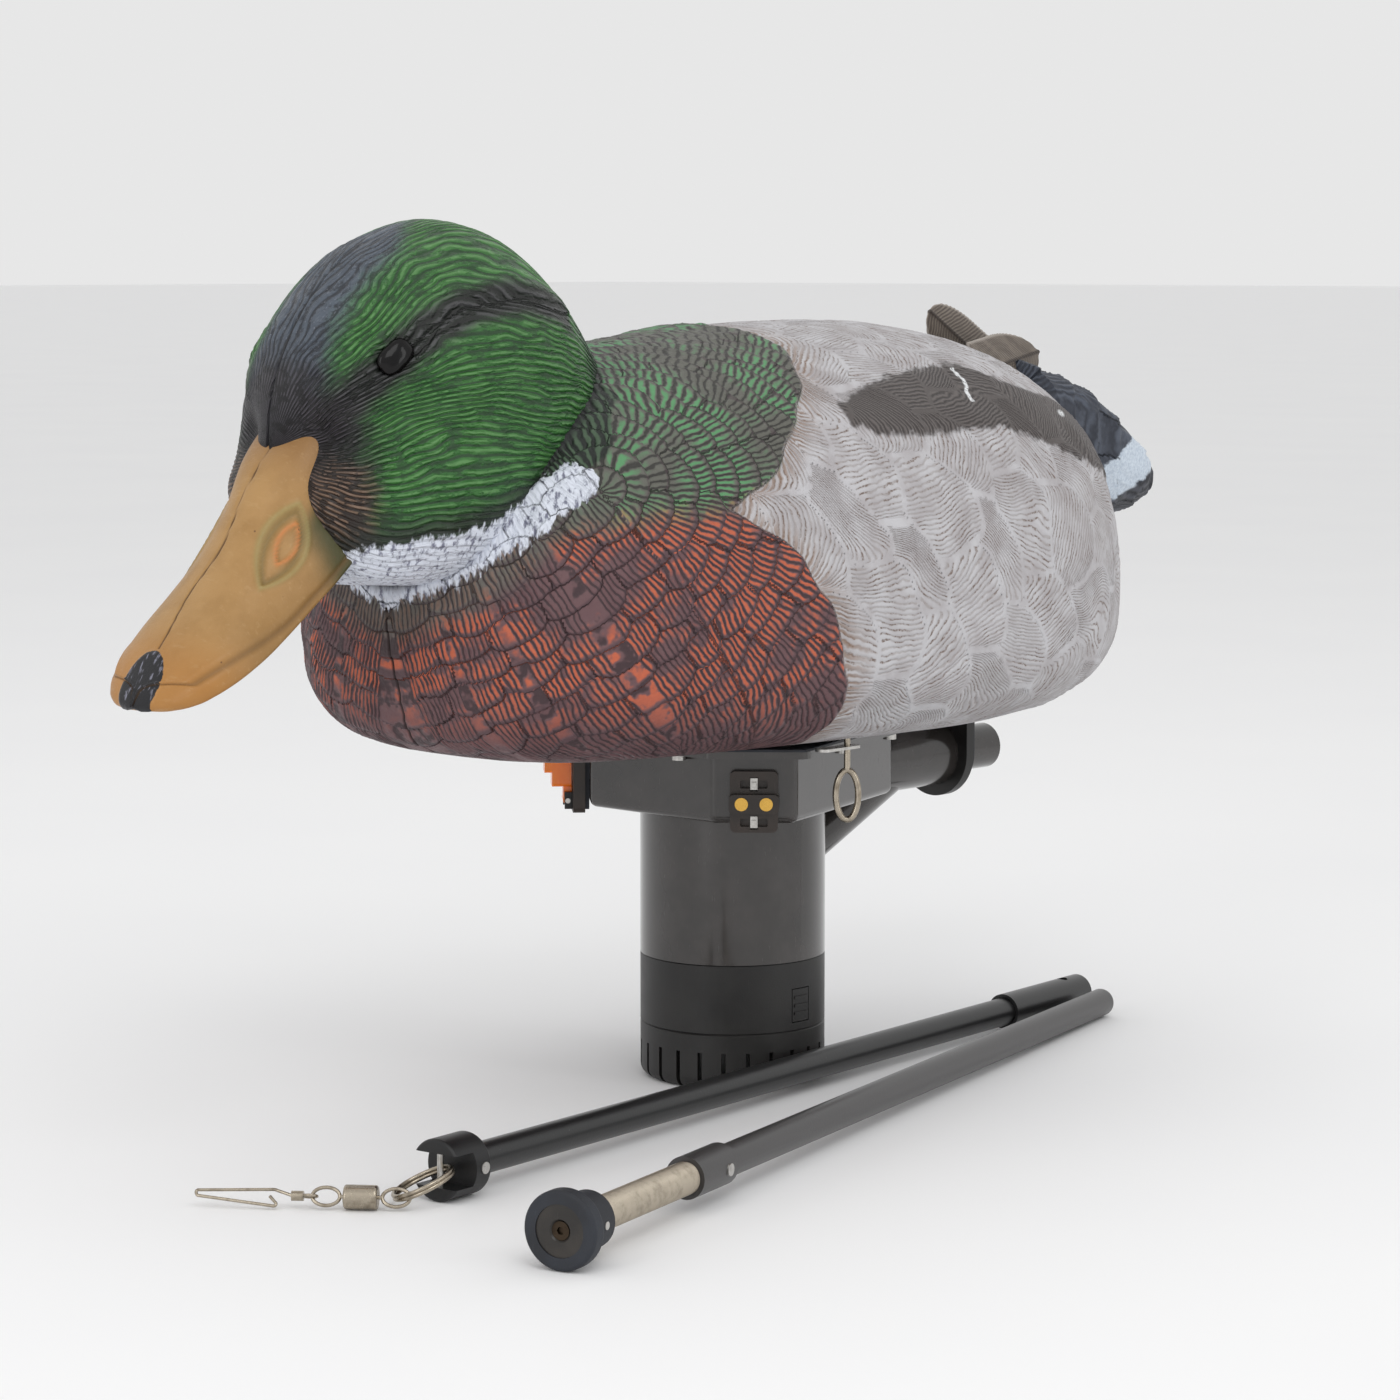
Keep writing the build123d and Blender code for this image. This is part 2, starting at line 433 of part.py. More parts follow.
def build_charging():
    side = 1
    port = pad(side, 20, 115, 140.6, 0.0, 4.2, 2.4)
    port += pad(side, 20.8, 123.2, 131.2, 0.0, 7.0, 2.2)
    clips = []
    for z in (119.2, 135.2):
        port -= pad(side, 11.4, z - 1.7, z + 1.7, 1.6, 5, 0.6)
        port -= pad(side, 3.4, z - 2.9, z + 2.9, 1.6, 5)
        clip = pad(side, 3.0, z - 2.4, z + 2.4, 1.6, 3.0)
        clips.append(clip + pad(side, 2.0, z - 0.8, z + 0.8, 2.9, 3.9))
    contacts = []
    for along in (-CONTACT_PITCH / 2, CONTACT_PITCH / 2):
        start, end = chamfer_point(side, along, 127.2, 1.5), chamfer_point(side, along, 127.2, 7.4)
        port -= rod(CONTACT_R, start, end)
        contacts.append(rod(CONTACT_R, start, end))
    save("charge_block", port)
    save("charge_contacts", *contacts)
    save("charge_clips", *clips)
    plug = rod(6.0, chamfer_point(side, 0, 131, -8), chamfer_point(side, 0, 131, 0))
    save("charge_feed", plug)


def build_switch():
    side = -1
    hole_low, hole_high = chamfer_point(side, 0, 131, -1), chamfer_point(side, 0, 131, 5)
    save("switch_gasket", pad(side, 23, 116, 145, 0, 1.8, 2.5) - rod(6.0, hole_low, hole_high))
    cover = pad(side, 25, 114.6, 145.6, 1.8, 7.0, 2.6)
    cover -= rod(6.0, chamfer_point(side, 0, 131, 0), chamfer_point(side, 0, 131, 5))
    save("switch_cover", cover)
    save("power_switch", rod(6.0, chamfer_point(side, 0, 131, -12), chamfer_point(side, 0, 131, 4.9)))
    bezel = pad(side, 16, 116, 117, 7.0, 9.4)
    ears = chamfer_plane(side, PIN_Z, 7.0)
    for offset_x in (-6.75, 6.75):
        bezel += extrude(ears * Pos(offset_x, 0) * Rectangle(2.5, 7.2), 3.4)
    pin_start, pin_end = (chamfer_point(side, along, PIN_Z, PIN_OUT + 1.5) for along in (-8.6, 8.6))
    pin = rod(PIN_R, pin_start, pin_end)
    save("switch_bezel", bezel - pin)
    save("paddle_pin", pin)
    leg_start, leg_end = (chamfer_point(side, along, PIN_Z, PIN_OUT + 1.5) for along in (-5.0, 5.0))
    paddle = rod(1.95, leg_start, leg_end)
    paddle += pad(side, 10, PIN_Z, 127, PIN_OUT - 0.3, PIN_OUT + 3.3)
    paddle += pad(side, 13, 125.4, 138, PIN_OUT - 0.2, PIN_OUT + 8.2, 1.5)
    paddle += pad(side, 13, 131.5, 137.4, PIN_OUT + 8.0, PIN_OUT + 11.4, 1.2)
    paddle -= rod(PIN_R + 0.05, pin_start, pin_end)
    save("power_paddle", paddle)


def build_tether_eye():
    out = Vector(0.731, 0.682, 0)
    loop = wire_loop(Vector(EYE_X, EYE_Y, EYE_Z), Vector(0, 0, 1), out, EYE_HALF_H, EYE_HALF_W, EYE_WIRE_R)
    loop += cyl(EYE_WIRE_R, EYE_Z + EYE_HALF_H, 163, EYE_X, EYE_Y)
    save("tether_eye", loop)
    strap = block(EYE_X - 3.6, EYE_X + 3.6, EYE_Y - 18, EYE_Y + 6, LANDING_Z - 1.2, LANDING_Z)
    strap = fillet(strap.edges().filter_by(Axis.Z), 3)
    save("eye_strap", strap - cyl(EYE_WIRE_R, 140, 160, EYE_X, EYE_Y))
    nut = Pos(EYE_X, EYE_Y, 158) * extrude(RegularPolygon(3.6, 6), 3)
    save("eye_nut", nut - cyl(EYE_WIRE_R, 150, 170, EYE_X, EYE_Y))


# ============================ Tether pole ============================
def along(start, end, distance):
    """A point on the line from start towards end."""
    return start + (end - start).normalized() * distance


def build_pole_a():
    axis = (A_END - FORK_FACE).normalized()
    fork = rod(FORK_R, FORK_FACE, along(FORK_FACE, A_END, FORK_L))
    fork = fillet(fork.edges(), 1.2)
    side = Vector(0, 0, 1).cross(axis)
    up = axis.cross(side)
    slot_plane = Plane(origin=FORK_FACE - axis, x_dir=side, z_dir=axis)
    fork -= extrude(slot_plane * Rectangle(40, FORK_SLOT_H), FORK_SLOT_L + 1)
    fork -= rod(TUBE_R, along(FORK_FACE, A_END, FORK_SLOT_L + 1.5), along(FORK_FACE, A_END, FORK_L + 1))
    pin_centre = along(FORK_FACE, A_END, 2.9)
    cross_pin = rod(1.2, pin_centre - up * 9, pin_centre + up * 9)
    rivet_centre = along(FORK_FACE, A_END, FORK_L - 4)
    rivet = rod(2.3, rivet_centre - side * (FORK_R + 0.3), rivet_centre + side * (FORK_R + 0.3))
    tube_top = along(FORK_FACE, A_END, FORK_SLOT_L + 1.5)
    tube = rod(TUBE_R, tube_top, along(A_END, FORK_FACE, SOCKET_DEPTH), TUBE_BORE_R)
    save("pole_a_fork", fork - cross_pin - rivet)
    save("fork_pin", cross_pin)
    save("pole_a_rivet", rivet)
    save("pole_a_tube", tube - rivet)
    ferrule = rod(FERRULE_R, along(A_END, FORK_FACE, FERRULE_L), A_END, FERRULE_BORE_R)
    ferrule -= rod(2.6, along(A_END, FORK_FACE, 14), along(A_END, FORK_FACE, 14) + up * 20)
    collar_start = along(A_END, FORK_FACE, FERRULE_L - 0.5)
    collar = rod(FERRULE_BORE_R, collar_start, along(A_END, FORK_FACE, SOCKET_DEPTH), TUBE_R)
    save("pole_a_ferrule", ferrule + collar)


def build_pole_b():
    axis = (B_END - CAP_FACE).normalized()
    side = Vector(0, 0, 1).cross(axis).normalized()
    up = axis.cross(side)
    cap = rod(CAP_R, CAP_FACE, along(CAP_FACE, B_END, CAP_FLANGE_L))
    cap = fillet(cap.edges(), 1.4)
    cap += rod(CAP_NECK_R, along(CAP_FACE, B_END, CAP_FLANGE_L - 1), along(CAP_FACE, B_END, CAP_L))
    cap -= rod(MAGNET_DISC_R, CAP_FACE - axis, along(CAP_FACE, B_END, MAGNET_DISC_T))
    cap -= rod(SPRING_R, along(CAP_FACE, B_END, CAP_L - 13), along(CAP_FACE, B_END, CAP_L + 1))
    cap -= rod(1.7, CAP_FACE, along(CAP_FACE, B_END, CAP_L))
    pin_centre = along(CAP_FACE, B_END, CAP_L - 6)
    cap_pin = rod(1.5, pin_centre - side * (CAP_NECK_R + 0.2), pin_centre + side * (CAP_NECK_R + 0.2))
    save("pole_b_cap", cap - cap_pin)
    magnet = rod(MAGNET_DISC_R, along(CAP_FACE, B_END, 0.5), along(CAP_FACE, B_END, MAGNET_DISC_T), 1.7)
    face_plane = Plane(origin=along(CAP_FACE, B_END, 0.5), z_dir=axis)
    magnet -= Solid.make_cone(4.2, 1.7, 2.6, plane=face_plane)
    save("magnet", magnet)
    head = Solid.make_cone(3.4, 1.7, 2.1, plane=Plane(origin=along(CAP_FACE, B_END, 1.0), z_dir=axis))
    screw_body = head + rod(1.7, along(CAP_FACE, B_END, 3.0), along(CAP_FACE, B_END, 8.4))
    socket = extrude(Plane(origin=along(CAP_FACE, B_END, 0.5), z_dir=axis) * RegularPolygon(1.5, 6), 1.6)
    save("magnet_screw", screw_body - socket)

    spring_start, spring_end = CAP_L - 12.9, CAP_L + SPRING_L + 12
    spring_line = (along(CAP_FACE, B_END, spring_start), along(CAP_FACE, B_END, spring_end))
    spring = rod(SPRING_R - 0.1, *spring_line, SPRING_BORE_R)
    save("pole_b_spring", spring - cap_pin)
    save("cap_pin", cap_pin)
    sleeve_start = CAP_L + SPRING_L
    sleeve_end = along(CAP_FACE, B_END, sleeve_start + SLEEVE_L)
    spigot_start = along(CAP_FACE, B_END, sleeve_start + 13)
    sleeve = rod(SLEEVE_R, along(CAP_FACE, B_END, sleeve_start), sleeve_end, SPIGOT_R)
    sleeve -= rod(TUBE_R, along(CAP_FACE, B_END, sleeve_start - 1), spigot_start)
    rivet_centre = along(CAP_FACE, B_END, sleeve_start + SLEEVE_L - 7)
    rivet = rod(2.4, rivet_centre - side * (SLEEVE_R + 0.6), rivet_centre + side * (SLEEVE_R + 0.6))
    tube = rod(TUBE_R, sleeve_end, along(B_END, CAP_FACE, 3), TUBE_BORE_R)
    tube += rod(SPIGOT_R, spigot_start, sleeve_end, TUBE_BORE_R)
    save("pole_b_sleeve", sleeve - rivet)
    save("pole_b_rivet", rivet)
    save("pole_b_tube", tube - rivet)
    nose = rod(TUBE_R, along(B_END, CAP_FACE, 3), B_END)
    nose = fillet(nose.edges().filter_by(GeomType.CIRCLE).sort_by(Axis.Y)[-1], 2.6)
    nose += rod(TUBE_BORE_R, along(B_END, CAP_FACE, 14), along(B_END, CAP_FACE, 2.9))
    save("pole_b_nose", nose)


# ====================== Split ring, swivel and snap ======================


def build_chain():
    ring_top = along(FORK_FACE, A_END, RING_TOP_GAP)
    down = (RING_LOW - ring_top).normalized()
    across = (RING_ACROSS - down * RING_ACROSS.dot(down)).normalized()
    centre = (RING_LOW + ring_top) * 0.5
    radius = (RING_LOW - ring_top).length / 2
    normal = down.cross(across)
    coil = wire_loop(centre + normal * 0.7, down, across, radius, radius, RING_WIRE_R)
    coil += wire_loop(centre - normal * 0.7, down, across, radius, radius, RING_WIRE_R)
    save("split_ring", coil)

    loop_normal = (across - CHAIN * across.dot(CHAIN)).normalized()
    loop_across = loop_normal.cross(CHAIN)
    front = RING_LOW + CHAIN * (EYE_LOOP_L - LINK_WIRE_R - RING_WIRE_R - 1.8)
    front = Vector(front.X, front.Y, 4.9)
    stem = 1.6

    def swivel_eye(loop_centre, way):
        eye = wire_loop(loop_centre, CHAIN, loop_across, EYE_LOOP_L, EYE_LOOP_W, LINK_WIRE_R)
        start = loop_centre + CHAIN * (way * EYE_LOOP_L)
        eye += rod(LINK_STEM_R, start, start + CHAIN * (way * (stem + 3)))
        return eye + rod(1.5, start + CHAIN * (way * (stem + 1.9)), start + CHAIN * (way * (stem + 3)))

    barrel_start = front + CHAIN * (EYE_LOOP_L + stem)
    barrel_end = barrel_start + CHAIN * BARREL_L
    rear = barrel_end + CHAIN * (EYE_LOOP_L + stem)
    barrel = fillet(rod(BARREL_R, barrel_start, barrel_end).edges(), 1.0)
    for start, way in ((barrel_start, 1), (barrel_end, -1)):
        barrel -= rod(LINK_STEM_R + 0.06, start - CHAIN * way, start + CHAIN * (2 * way))
        barrel -= rod(1.56, start + CHAIN * (1.6 * way), start + CHAIN * (3.4 * way))
    save("swivel_barrel", barrel)
    save("swivel_ring_eye", swivel_eye(front, 1))
    save("swivel_snap_eye", swivel_eye(rear, -1))

    lean = Vector(-CHAIN.Y, CHAIN.X, 0) * 0.62 + Vector(0, 0, -0.785)
    hook = rear + CHAIN * (EYE_LOOP_L - LINK_WIRE_R - SNAP_WIRE_R - 0.25)
    snap = wire_loop(hook + CHAIN * 2.4, CHAIN, loop_normal, 2.6, 2.2, SNAP_WIRE_R)
    wrap_start = hook + CHAIN * 5.0
    for k in range(3):
        snap += rod(1.9, wrap_start + CHAIN * (1.5 * k - 0.2), wrap_start + CHAIN * (1.5 * k + 1.3))
    wrap_end = wrap_start + CHAIN * 4
    route = [
        wrap_end, wrap_end + CHAIN * 7 - lean * 2.4, wrap_end + CHAIN * 37 - lean * 1.6,
        wrap_end + CHAIN * 36 + lean * 0.6, wrap_end + CHAIN * 4.5 + lean * 4.6,
        wrap_end + CHAIN * 8.5 + lean * 0.4,
    ]
    path = FilletPolyline(*route, radius=[3.0, 0.9, 0.9, 0.8])
    snap += sweep(Plane(origin=path @ 0, z_dir=path % 0) * Circle(SNAP_WIRE_R), path=path)
    save("snap_clip", snap)


build_duck()
build_housing()
build_electrics()
build_motor()
build_foot()
build_jet()
build_charging()
build_switch()
build_tether_eye()
build_pole_a()
build_pole_b()
build_chain()
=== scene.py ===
"""A swimming drake decoy: a painted, feather-carved duck shell on a submersible pump with a rear jet,
and the two halves of its tether pole. Shapes are worked out in millimetres and built in metres."""

import itertools
import math

import bpy
import numpy as np
from mathutils import Matrix, Vector


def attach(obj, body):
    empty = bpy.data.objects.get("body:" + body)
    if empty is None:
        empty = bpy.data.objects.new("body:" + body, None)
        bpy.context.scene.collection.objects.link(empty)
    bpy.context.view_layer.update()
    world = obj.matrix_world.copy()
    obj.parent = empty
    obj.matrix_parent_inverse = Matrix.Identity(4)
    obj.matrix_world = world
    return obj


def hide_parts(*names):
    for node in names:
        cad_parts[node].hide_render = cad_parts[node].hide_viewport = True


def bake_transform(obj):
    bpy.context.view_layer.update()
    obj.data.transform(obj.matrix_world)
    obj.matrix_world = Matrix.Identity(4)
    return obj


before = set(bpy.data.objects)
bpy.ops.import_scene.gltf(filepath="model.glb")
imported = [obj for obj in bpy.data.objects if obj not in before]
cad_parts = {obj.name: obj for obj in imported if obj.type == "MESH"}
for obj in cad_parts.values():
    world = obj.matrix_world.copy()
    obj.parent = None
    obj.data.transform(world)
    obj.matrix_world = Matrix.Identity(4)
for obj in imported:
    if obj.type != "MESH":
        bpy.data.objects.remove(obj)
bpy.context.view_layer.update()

MM = 0.001
GRID = 0.85      # spacing of the carved surfaces' points

# ---- Camera ----
CAMERA_AZIMUTH = math.radians(43.0)
CAMERA_DISTANCE, CAMERA_HEIGHT = 1.660, 0.352
CAMERA_TURN, CAMERA_PITCH = math.radians(0.4875), math.radians(6.5)
CAMERA_LENS = 99.73

# ---- Duck forms. Body, head and tail are the CAD shell's; the bill has a closer outline of its own ----
# Body and head: y, half width, lowest z, highest z, height of the widest line
BODY_SECTIONS = [
    (-196, 24, 190, 236, 0.50), (-190, 52, 169, 256, 0.46), (-174, 80, 157, 278, 0.42),
    (-148, 97, 152, 298, 0.38), (-110, 108, 150, 311, 0.36), (-50, 117, 149, 321, 0.34),
    (20, 121, 148, 325, 0.33), (75, 119, 148, 324, 0.33), (115, 111, 151, 318, 0.33),
    (146, 96, 157, 308, 0.35), (170, 75, 167, 297, 0.37), (186, 52, 181, 284, 0.40),
    (195, 26, 198, 268, 0.45),
]
HEAD_SECTIONS = [
    (-257, 14, 258, 300, 0.45), (-251, 27, 243, 317, 0.45), (-237, 40, 230, 337, 0.45),
    (-214, 51, 226, 356, 0.45), (-188, 55, 226, 366, 0.42), (-160, 54, 230, 364, 0.40),
    (-134, 47, 240, 351, 0.38), (-114, 36, 252, 332, 0.38), (-102, 22, 266, 312, 0.42),
]
BACK_CURVE, HULL_CURVE = 2.1, 3.0
BILL_ROOT, BILL_TIP = np.array([0.0, -243, 281]), np.array([0.0, -315, 190])
# Part of the way, half width, height of the lower edge and of the culmen square to the root-tip line
BILL_SECTIONS = [
    (0.0, 24, -30, 11), (0.12, 25, -30, 12), (0.24, 26, -30, 11), (0.35, 27, -27.5, 9.5),
    (0.48, 28, -23, 8.5), (0.63, 30, -17.5, 9), (0.78, 31.8, -11, 9.8), (0.88, 31, -6.5, 9.8),
    (0.95, 28.5, -3.2, 9), (1.0, 24.5, -1, 8.3), (1.04, 18.5, 1.5, 7.6), (1.06, 13, 3, 6.8),
    (1.075, 4, 4.6, 6),
]
# Tail: y, half width, middle z, half thickness
TAIL_SECTIONS = [
    (168, 44, 282, 24), (200, 44, 277, 18), (228, 42, 264, 11), (250, 33, 253, 6), (264, 16, 247, 3.5),
]
NOSTRIL_AT, NOSTRIL_ARC = 0.395, 21.5      # part of the bill's way, and the way round from the culmen
# How far the dark undertail reaches below the tail's middle
TAIL_BELLY_Y = [168, 200, 214, 228, 240, 250, 257, 260.5]
TAIL_BELLY_REACH = [40, 52, 44, 33, 25, 18, 11, 0.8]
# The flat landing that takes the housing's flange, and the flat pad behind it that takes the bracket
LANDING_Z = 150.0
LANDING_PLAN = [(-36, -51), (36, -51), (62, -28), (30, 71), (-30, 71), (-62, -28)]
LANDING_MARGIN = 9.5
PAD_HALF_X, PAD_FRONT_Y, PAD_BACK_Y, PAD_Z = 26, 123, 161, 152.0
MIDDLE_Z = 200          # forms below this height count as the underside
TAIL_CURVE = 2.6
EYE_HALF_LENGTH, EYE_HALF_HEIGHT, EYE_DOME, EYE_BACK = 8.8, 6.0, 3.2, -2.5
SPRING_WIRE, SPRING_RADIUS, SPRING_PITCH = 0.42, 5.95, 0.88

# ---- Paint boundaries on the left side; the right side mirrors them ----
# Lower edge of the white collar
COLLAR_LINE = np.array([(0, -198, 216), (24, -196, 223), (44, -191, 232), (64, -177, 246),
                        (74, -155, 263)], float)
# Rear edge of the dark front plumage: the depth y at each height z
FRONT_EDGE_Z = [150, 160, 181, 197, 217, 234, 243, 254, 262, 274, 288, 303, 315, 322]
FRONT_EDGE_Y = [-44, -49, -57, -59, -67, -80, -90, -105, -90, -71, -53, -35, -22, -24]
NOTCH_Z = 256.0
# The brown side patch: its top and bottom along y, and its ends
PATCH_Y = [-30, -16, 0, 15, 45, 66, 87, 104, 142, 165]
PATCH_TOP = [291, 296, 300, 303, 306, 307, 300, 296, 288, 280]
PATCH_LOW = [288, 281, 280, 280, 281, 281, 275, 270, 262, 252]
PATCH_FRONT_Y, PATCH_BACK_Y = -27, 176
EYE = np.array([39.0, -228, 315])
EYE_LINE = np.array([(24, -252, 288), (33, -241, 302), (40, -226, 316), (44, -212, 327), (45, -195, 334),
                     (43, -168, 337), (36, -140, 330)], float)
# The cheek, its lobe beside the bill, the hollow above the bill's root: middle, spread, lift
HEAD_LUMPS = [((44, -214, 268), 28, 3.0), ((25, -247, 264), 13, 4.5), ((20, -252, 285), 12, -7.0)]
# Upper edge of the white collar: along y on the head, and by the distance x from the middle on the body
COLLAR_EDGE_Y = [-262, -241, -217, -193, -176, -158, -124]
COLLAR_EDGE_Z = [238, 243, 247, 251, 259, 266, 268]
COLLAR_HIGH_X = [0, 19, 43, 53, 60, 69, 80]
COLLAR_HIGH_Z = [241, 245, 251, 259, 267, 272, 275]
# Lines that bound the white band on the tail's side, each by the y and z of two points
BAND_UPPER_LINE = ((194.4, 252.9), (217.3, 265.3))
BAND_LOWER_LINE = ((208.8, 237.1), (238.2, 250.6))
ROW_PITCH, ROW_DEPTH, FEATHER_W = 9.6, 4.2, 21.0
FLANK_ROW_PITCH, FLANK_ROW_DEPTH, FLANK_FEATHER_W = 27.0, 17.0, 41.0
FAN_START = -1.2        # angle from which the breast's rows fan out at the collar's upper end
FEATHER_JUMP = 2.5      # step of the barbs' coordinate that marks the border between two feathers
BARB_PITCH, FLANK_PITCH, HAIR_PITCH = 2.4, 1.9, 2.9


# ---- Form tools ----
def curve_through(xs, ys, x):
    """A smooth curve through points, by cubic pieces."""
    xs, ys = np.asarray(xs, float), np.asarray(ys, float)
    slope = np.gradient(ys, xs)
    i = np.clip(np.searchsorted(xs, x) - 1, 0, len(xs) - 2)
    h = xs[i + 1] - xs[i]
    t = (x - xs[i]) / h
    value = (2 * t**3 - 3 * t**2 + 1) * ys[i] + (t**3 - 2 * t**2 + t) * h * slope[i]
    return value + (3 * t**2 - 2 * t**3) * ys[i + 1] + (t**3 - t**2) * h * slope[i + 1]


def soft_step(low, high, value):
    """0 below low, 1 above high and a smooth rise between."""
    t = np.clip((value - low) / (high - low), 0, 1)
    return t * t * (3 - 2 * t)


def bell(value, width):
    """1 at zero, falling smoothly to nothing over a few widths."""
    return np.exp(-(value / width) ** 2)


def waves(value, pitch):
    """Ridges from -1 to 1 across a coordinate in millimetres."""
    return np.sin(2 * np.pi * value / pitch)


def circle(count):
    """Evenly spaced angles of a full turn, with a row of their cosines and a row of their sines."""
    turn = np.linspace(0, 2 * np.pi, count, endpoint=False)
    return turn, np.cos(turn)[None], np.sin(turn)[None]


def rounded(cosine, sine, half_w, reach, power):
    """Distance from the middle to a rounded cross section that is squarer with a higher power."""
    return ((abs(cosine) / half_w) ** power + (abs(sine) / reach) ** power) ** (-1 / power)


def mirrored(points):
    """The points with both sides laid on the left one."""
    side = points.copy()
    side[..., 0] = np.abs(side[..., 0])
    return side


def noise(points, cell, seed=0):
    """Smooth random values from -1 to 1 that change over a cell's size."""
    place = points / cell
    base = np.floor(place).astype(np.int64)
    part = place - base
    part = part * part * (3 - 2 * part)
    total = np.zeros(points.shape[:-1])
    for corner in itertools.product((0, 1), repeat=3):
        spot = base + np.array(corner)
        mixed = spot[..., 0] * 73856093 ^ spot[..., 1] * 19349663 ^ spot[..., 2] * 83492791
        mixed = mixed ^ (seed * 7919 + 11)
        mixed = (mixed ^ (mixed >> 13)) * 1274126177 & 0xFFFFFFFF
        value = ((mixed ^ (mixed >> 15)) & 0xFFFF) / 32767.5 - 1
        total += value * np.prod(np.where(np.array(corner) == 1, part, 1 - part), axis=-1)
    return total


def random_of(whole, seed=0):
    """A fixed random number from 0 to 1 for each whole number."""
    mixed = (whole.astype(np.int64) * 2654435761 + seed * 40503) & 0xFFFFFFFF
    mixed = (mixed ^ (mixed >> 15)) * 2246822519 & 0xFFFFFFFF
    return ((mixed ^ (mixed >> 13)) & 0xFFFF) / 65535


def normals_of(points):
    """Outward normals of a closed grid of rows around an axis."""
    along = np.gradient(points, axis=0)
    around = np.roll(points, -1, 1) - np.roll(points, 1, 1)
    normal = np.cross(around, along)
    outward = np.sign(((points - points.mean((0, 1))) * normal).sum(-1).mean())
    return outward * normal / (np.linalg.norm(normal, axis=-1, keepdims=True) + 1e-9)


def duck_skin(sections):
    """Points of a rounded form through cross sections, in rows from front to back, and the rows' angles."""
    y = np.array([row[0] for row in sections], float)
    first, last = y[0] - 2, y[-1] + 2
    middle, half = (first + last) / 2, (last - first) / 2
    place = np.concatenate([[0], np.arccos(np.clip((middle - y) / half, -1, 1)) / np.pi, [1]])
    shape = np.array([row[1:] for row in sections], float)
    ends = [[0, (row[1] + row[2]) / 2, (row[1] + row[2]) / 2, row[3]] for row in (shape[0], shape[-1])]
    shape = np.vstack([ends[0], shape, ends[1]])
    girth = np.pi * (shape[:, 0].max() + (shape[:, 2] - shape[:, 1]).max() / 2)
    rows, columns = int(np.pi * half / GRID * 0.8), int(girth / GRID)
    s = np.linspace(0.004, 0.996, rows)
    turn, cosine, sine = circle(columns)
    half_w, low, high, widest = [curve_through(place, shape[:, i], s)[:, None] for i in range(4)]
    z_mid = low + (high - low) * widest
    reach = np.where(sine > 0, high - z_mid, z_mid - low)
    radius = rounded(cosine, sine, half_w, reach, np.where(sine > 0, BACK_CURVE, HULL_CURVE))
    depth = (middle - half * np.cos(np.pi * s))[:, None] + 0 * turn[None]
    return np.stack([radius * cosine, depth, z_mid + radius * sine], -1), turn


def to_line(points, line):
    """Distance to a line through points, the arc length there, and the unit way from it."""
    best = np.full(points.shape[:-1], 1e9)
    place = np.zeros_like(best)
    away = np.zeros_like(points)
    start = 0.0
    for a, b in zip(line[:-1], line[1:]):
        step = b - a
        length = np.linalg.norm(step)
        t = np.clip(((points - a) @ step) / length**2, 0, 1)
        gap = points - (a + t[..., None] * step)
        distance = np.linalg.norm(gap, axis=-1)
        nearer = distance < best
        best = np.where(nearer, distance, best)
        place = np.where(nearer, start + t * length, place)
        away = np.where(nearer[..., None], gap, away)
        start += length
    return best, place, away


def feathers(along, across, pitch, width, depth, tilt):
    """Overlapping round-tipped feathers. Gives each point's way back from the tip that covers it and
    the barbs' coordinate. across is a function of the row's distance."""
    first = np.floor(along / pitch)
    ahead, barb = np.zeros_like(along), np.zeros_like(along)
    for back in (0, 1, 2):
        row = first - back
        place = across(np.maximum(row, 0.5) * pitch) / width + 0.5 * (row % 2) + 0.3 * random_of(row)
        column = np.floor(place)
        side = (place - column - 0.5) * 2
        tip = (row + 1) * pitch + depth * np.sqrt(np.maximum(1 - side**2, 0)) - depth * 0.5
        tip += (random_of(row * 131 + column, 3) - 0.5) * pitch * 0.35
        gap = tip - along
        covers = (gap > 0) | (back == 0)
        chance = random_of(row * 977 + column, 5)
        angle = (chance - 0.5) * 2 * tilt
        lines = side * width / 2 * np.cos(angle) + gap * np.sin(angle) + side**2 * gap * 0.12
        ahead = np.where(covers, np.maximum(gap, 0), ahead)
        barb = np.where(covers, lines + chance * width, barb)
    return ahead, barb


# ---- Mesh tools ----
def link_mesh(name, points, faces, material, values=None):
    """A smooth mesh object from points in millimetres, with named values at its points."""
    mesh = bpy.data.meshes.new(name)
    points = np.asarray(points, np.float32).reshape(-1, 3) * MM
    sizes = np.array([len(face) for face in faces], np.int32)
    flat = np.concatenate(faces)
    mesh.vertices.add(len(points))
    mesh.vertices.foreach_set("co", points.ravel())
    mesh.loops.add(len(flat))
    mesh.loops.foreach_set("vertex_index", flat.astype(np.int32))
    mesh.polygons.add(len(sizes))
    mesh.polygons.foreach_set("loop_start", np.concatenate([[0], np.cumsum(sizes)[:-1]]).astype(np.int32))
    mesh.polygons.foreach_set("loop_total", sizes)
    mesh.update(calc_edges=True)
    mesh.validate()
    mesh.polygons.foreach_set("use_smooth", np.ones(len(mesh.polygons), bool))
    for key, value in (values or {}).items():
        layer = mesh.attributes.new(key, "FLOAT", "POINT")
        layer.data.foreach_set("value", np.asarray(value, np.float32).ravel())
    mesh.materials.append(material)
    thing = bpy.data.objects.new(name, mesh)
    bpy.context.scene.collection.objects.link(thing)
    return thing


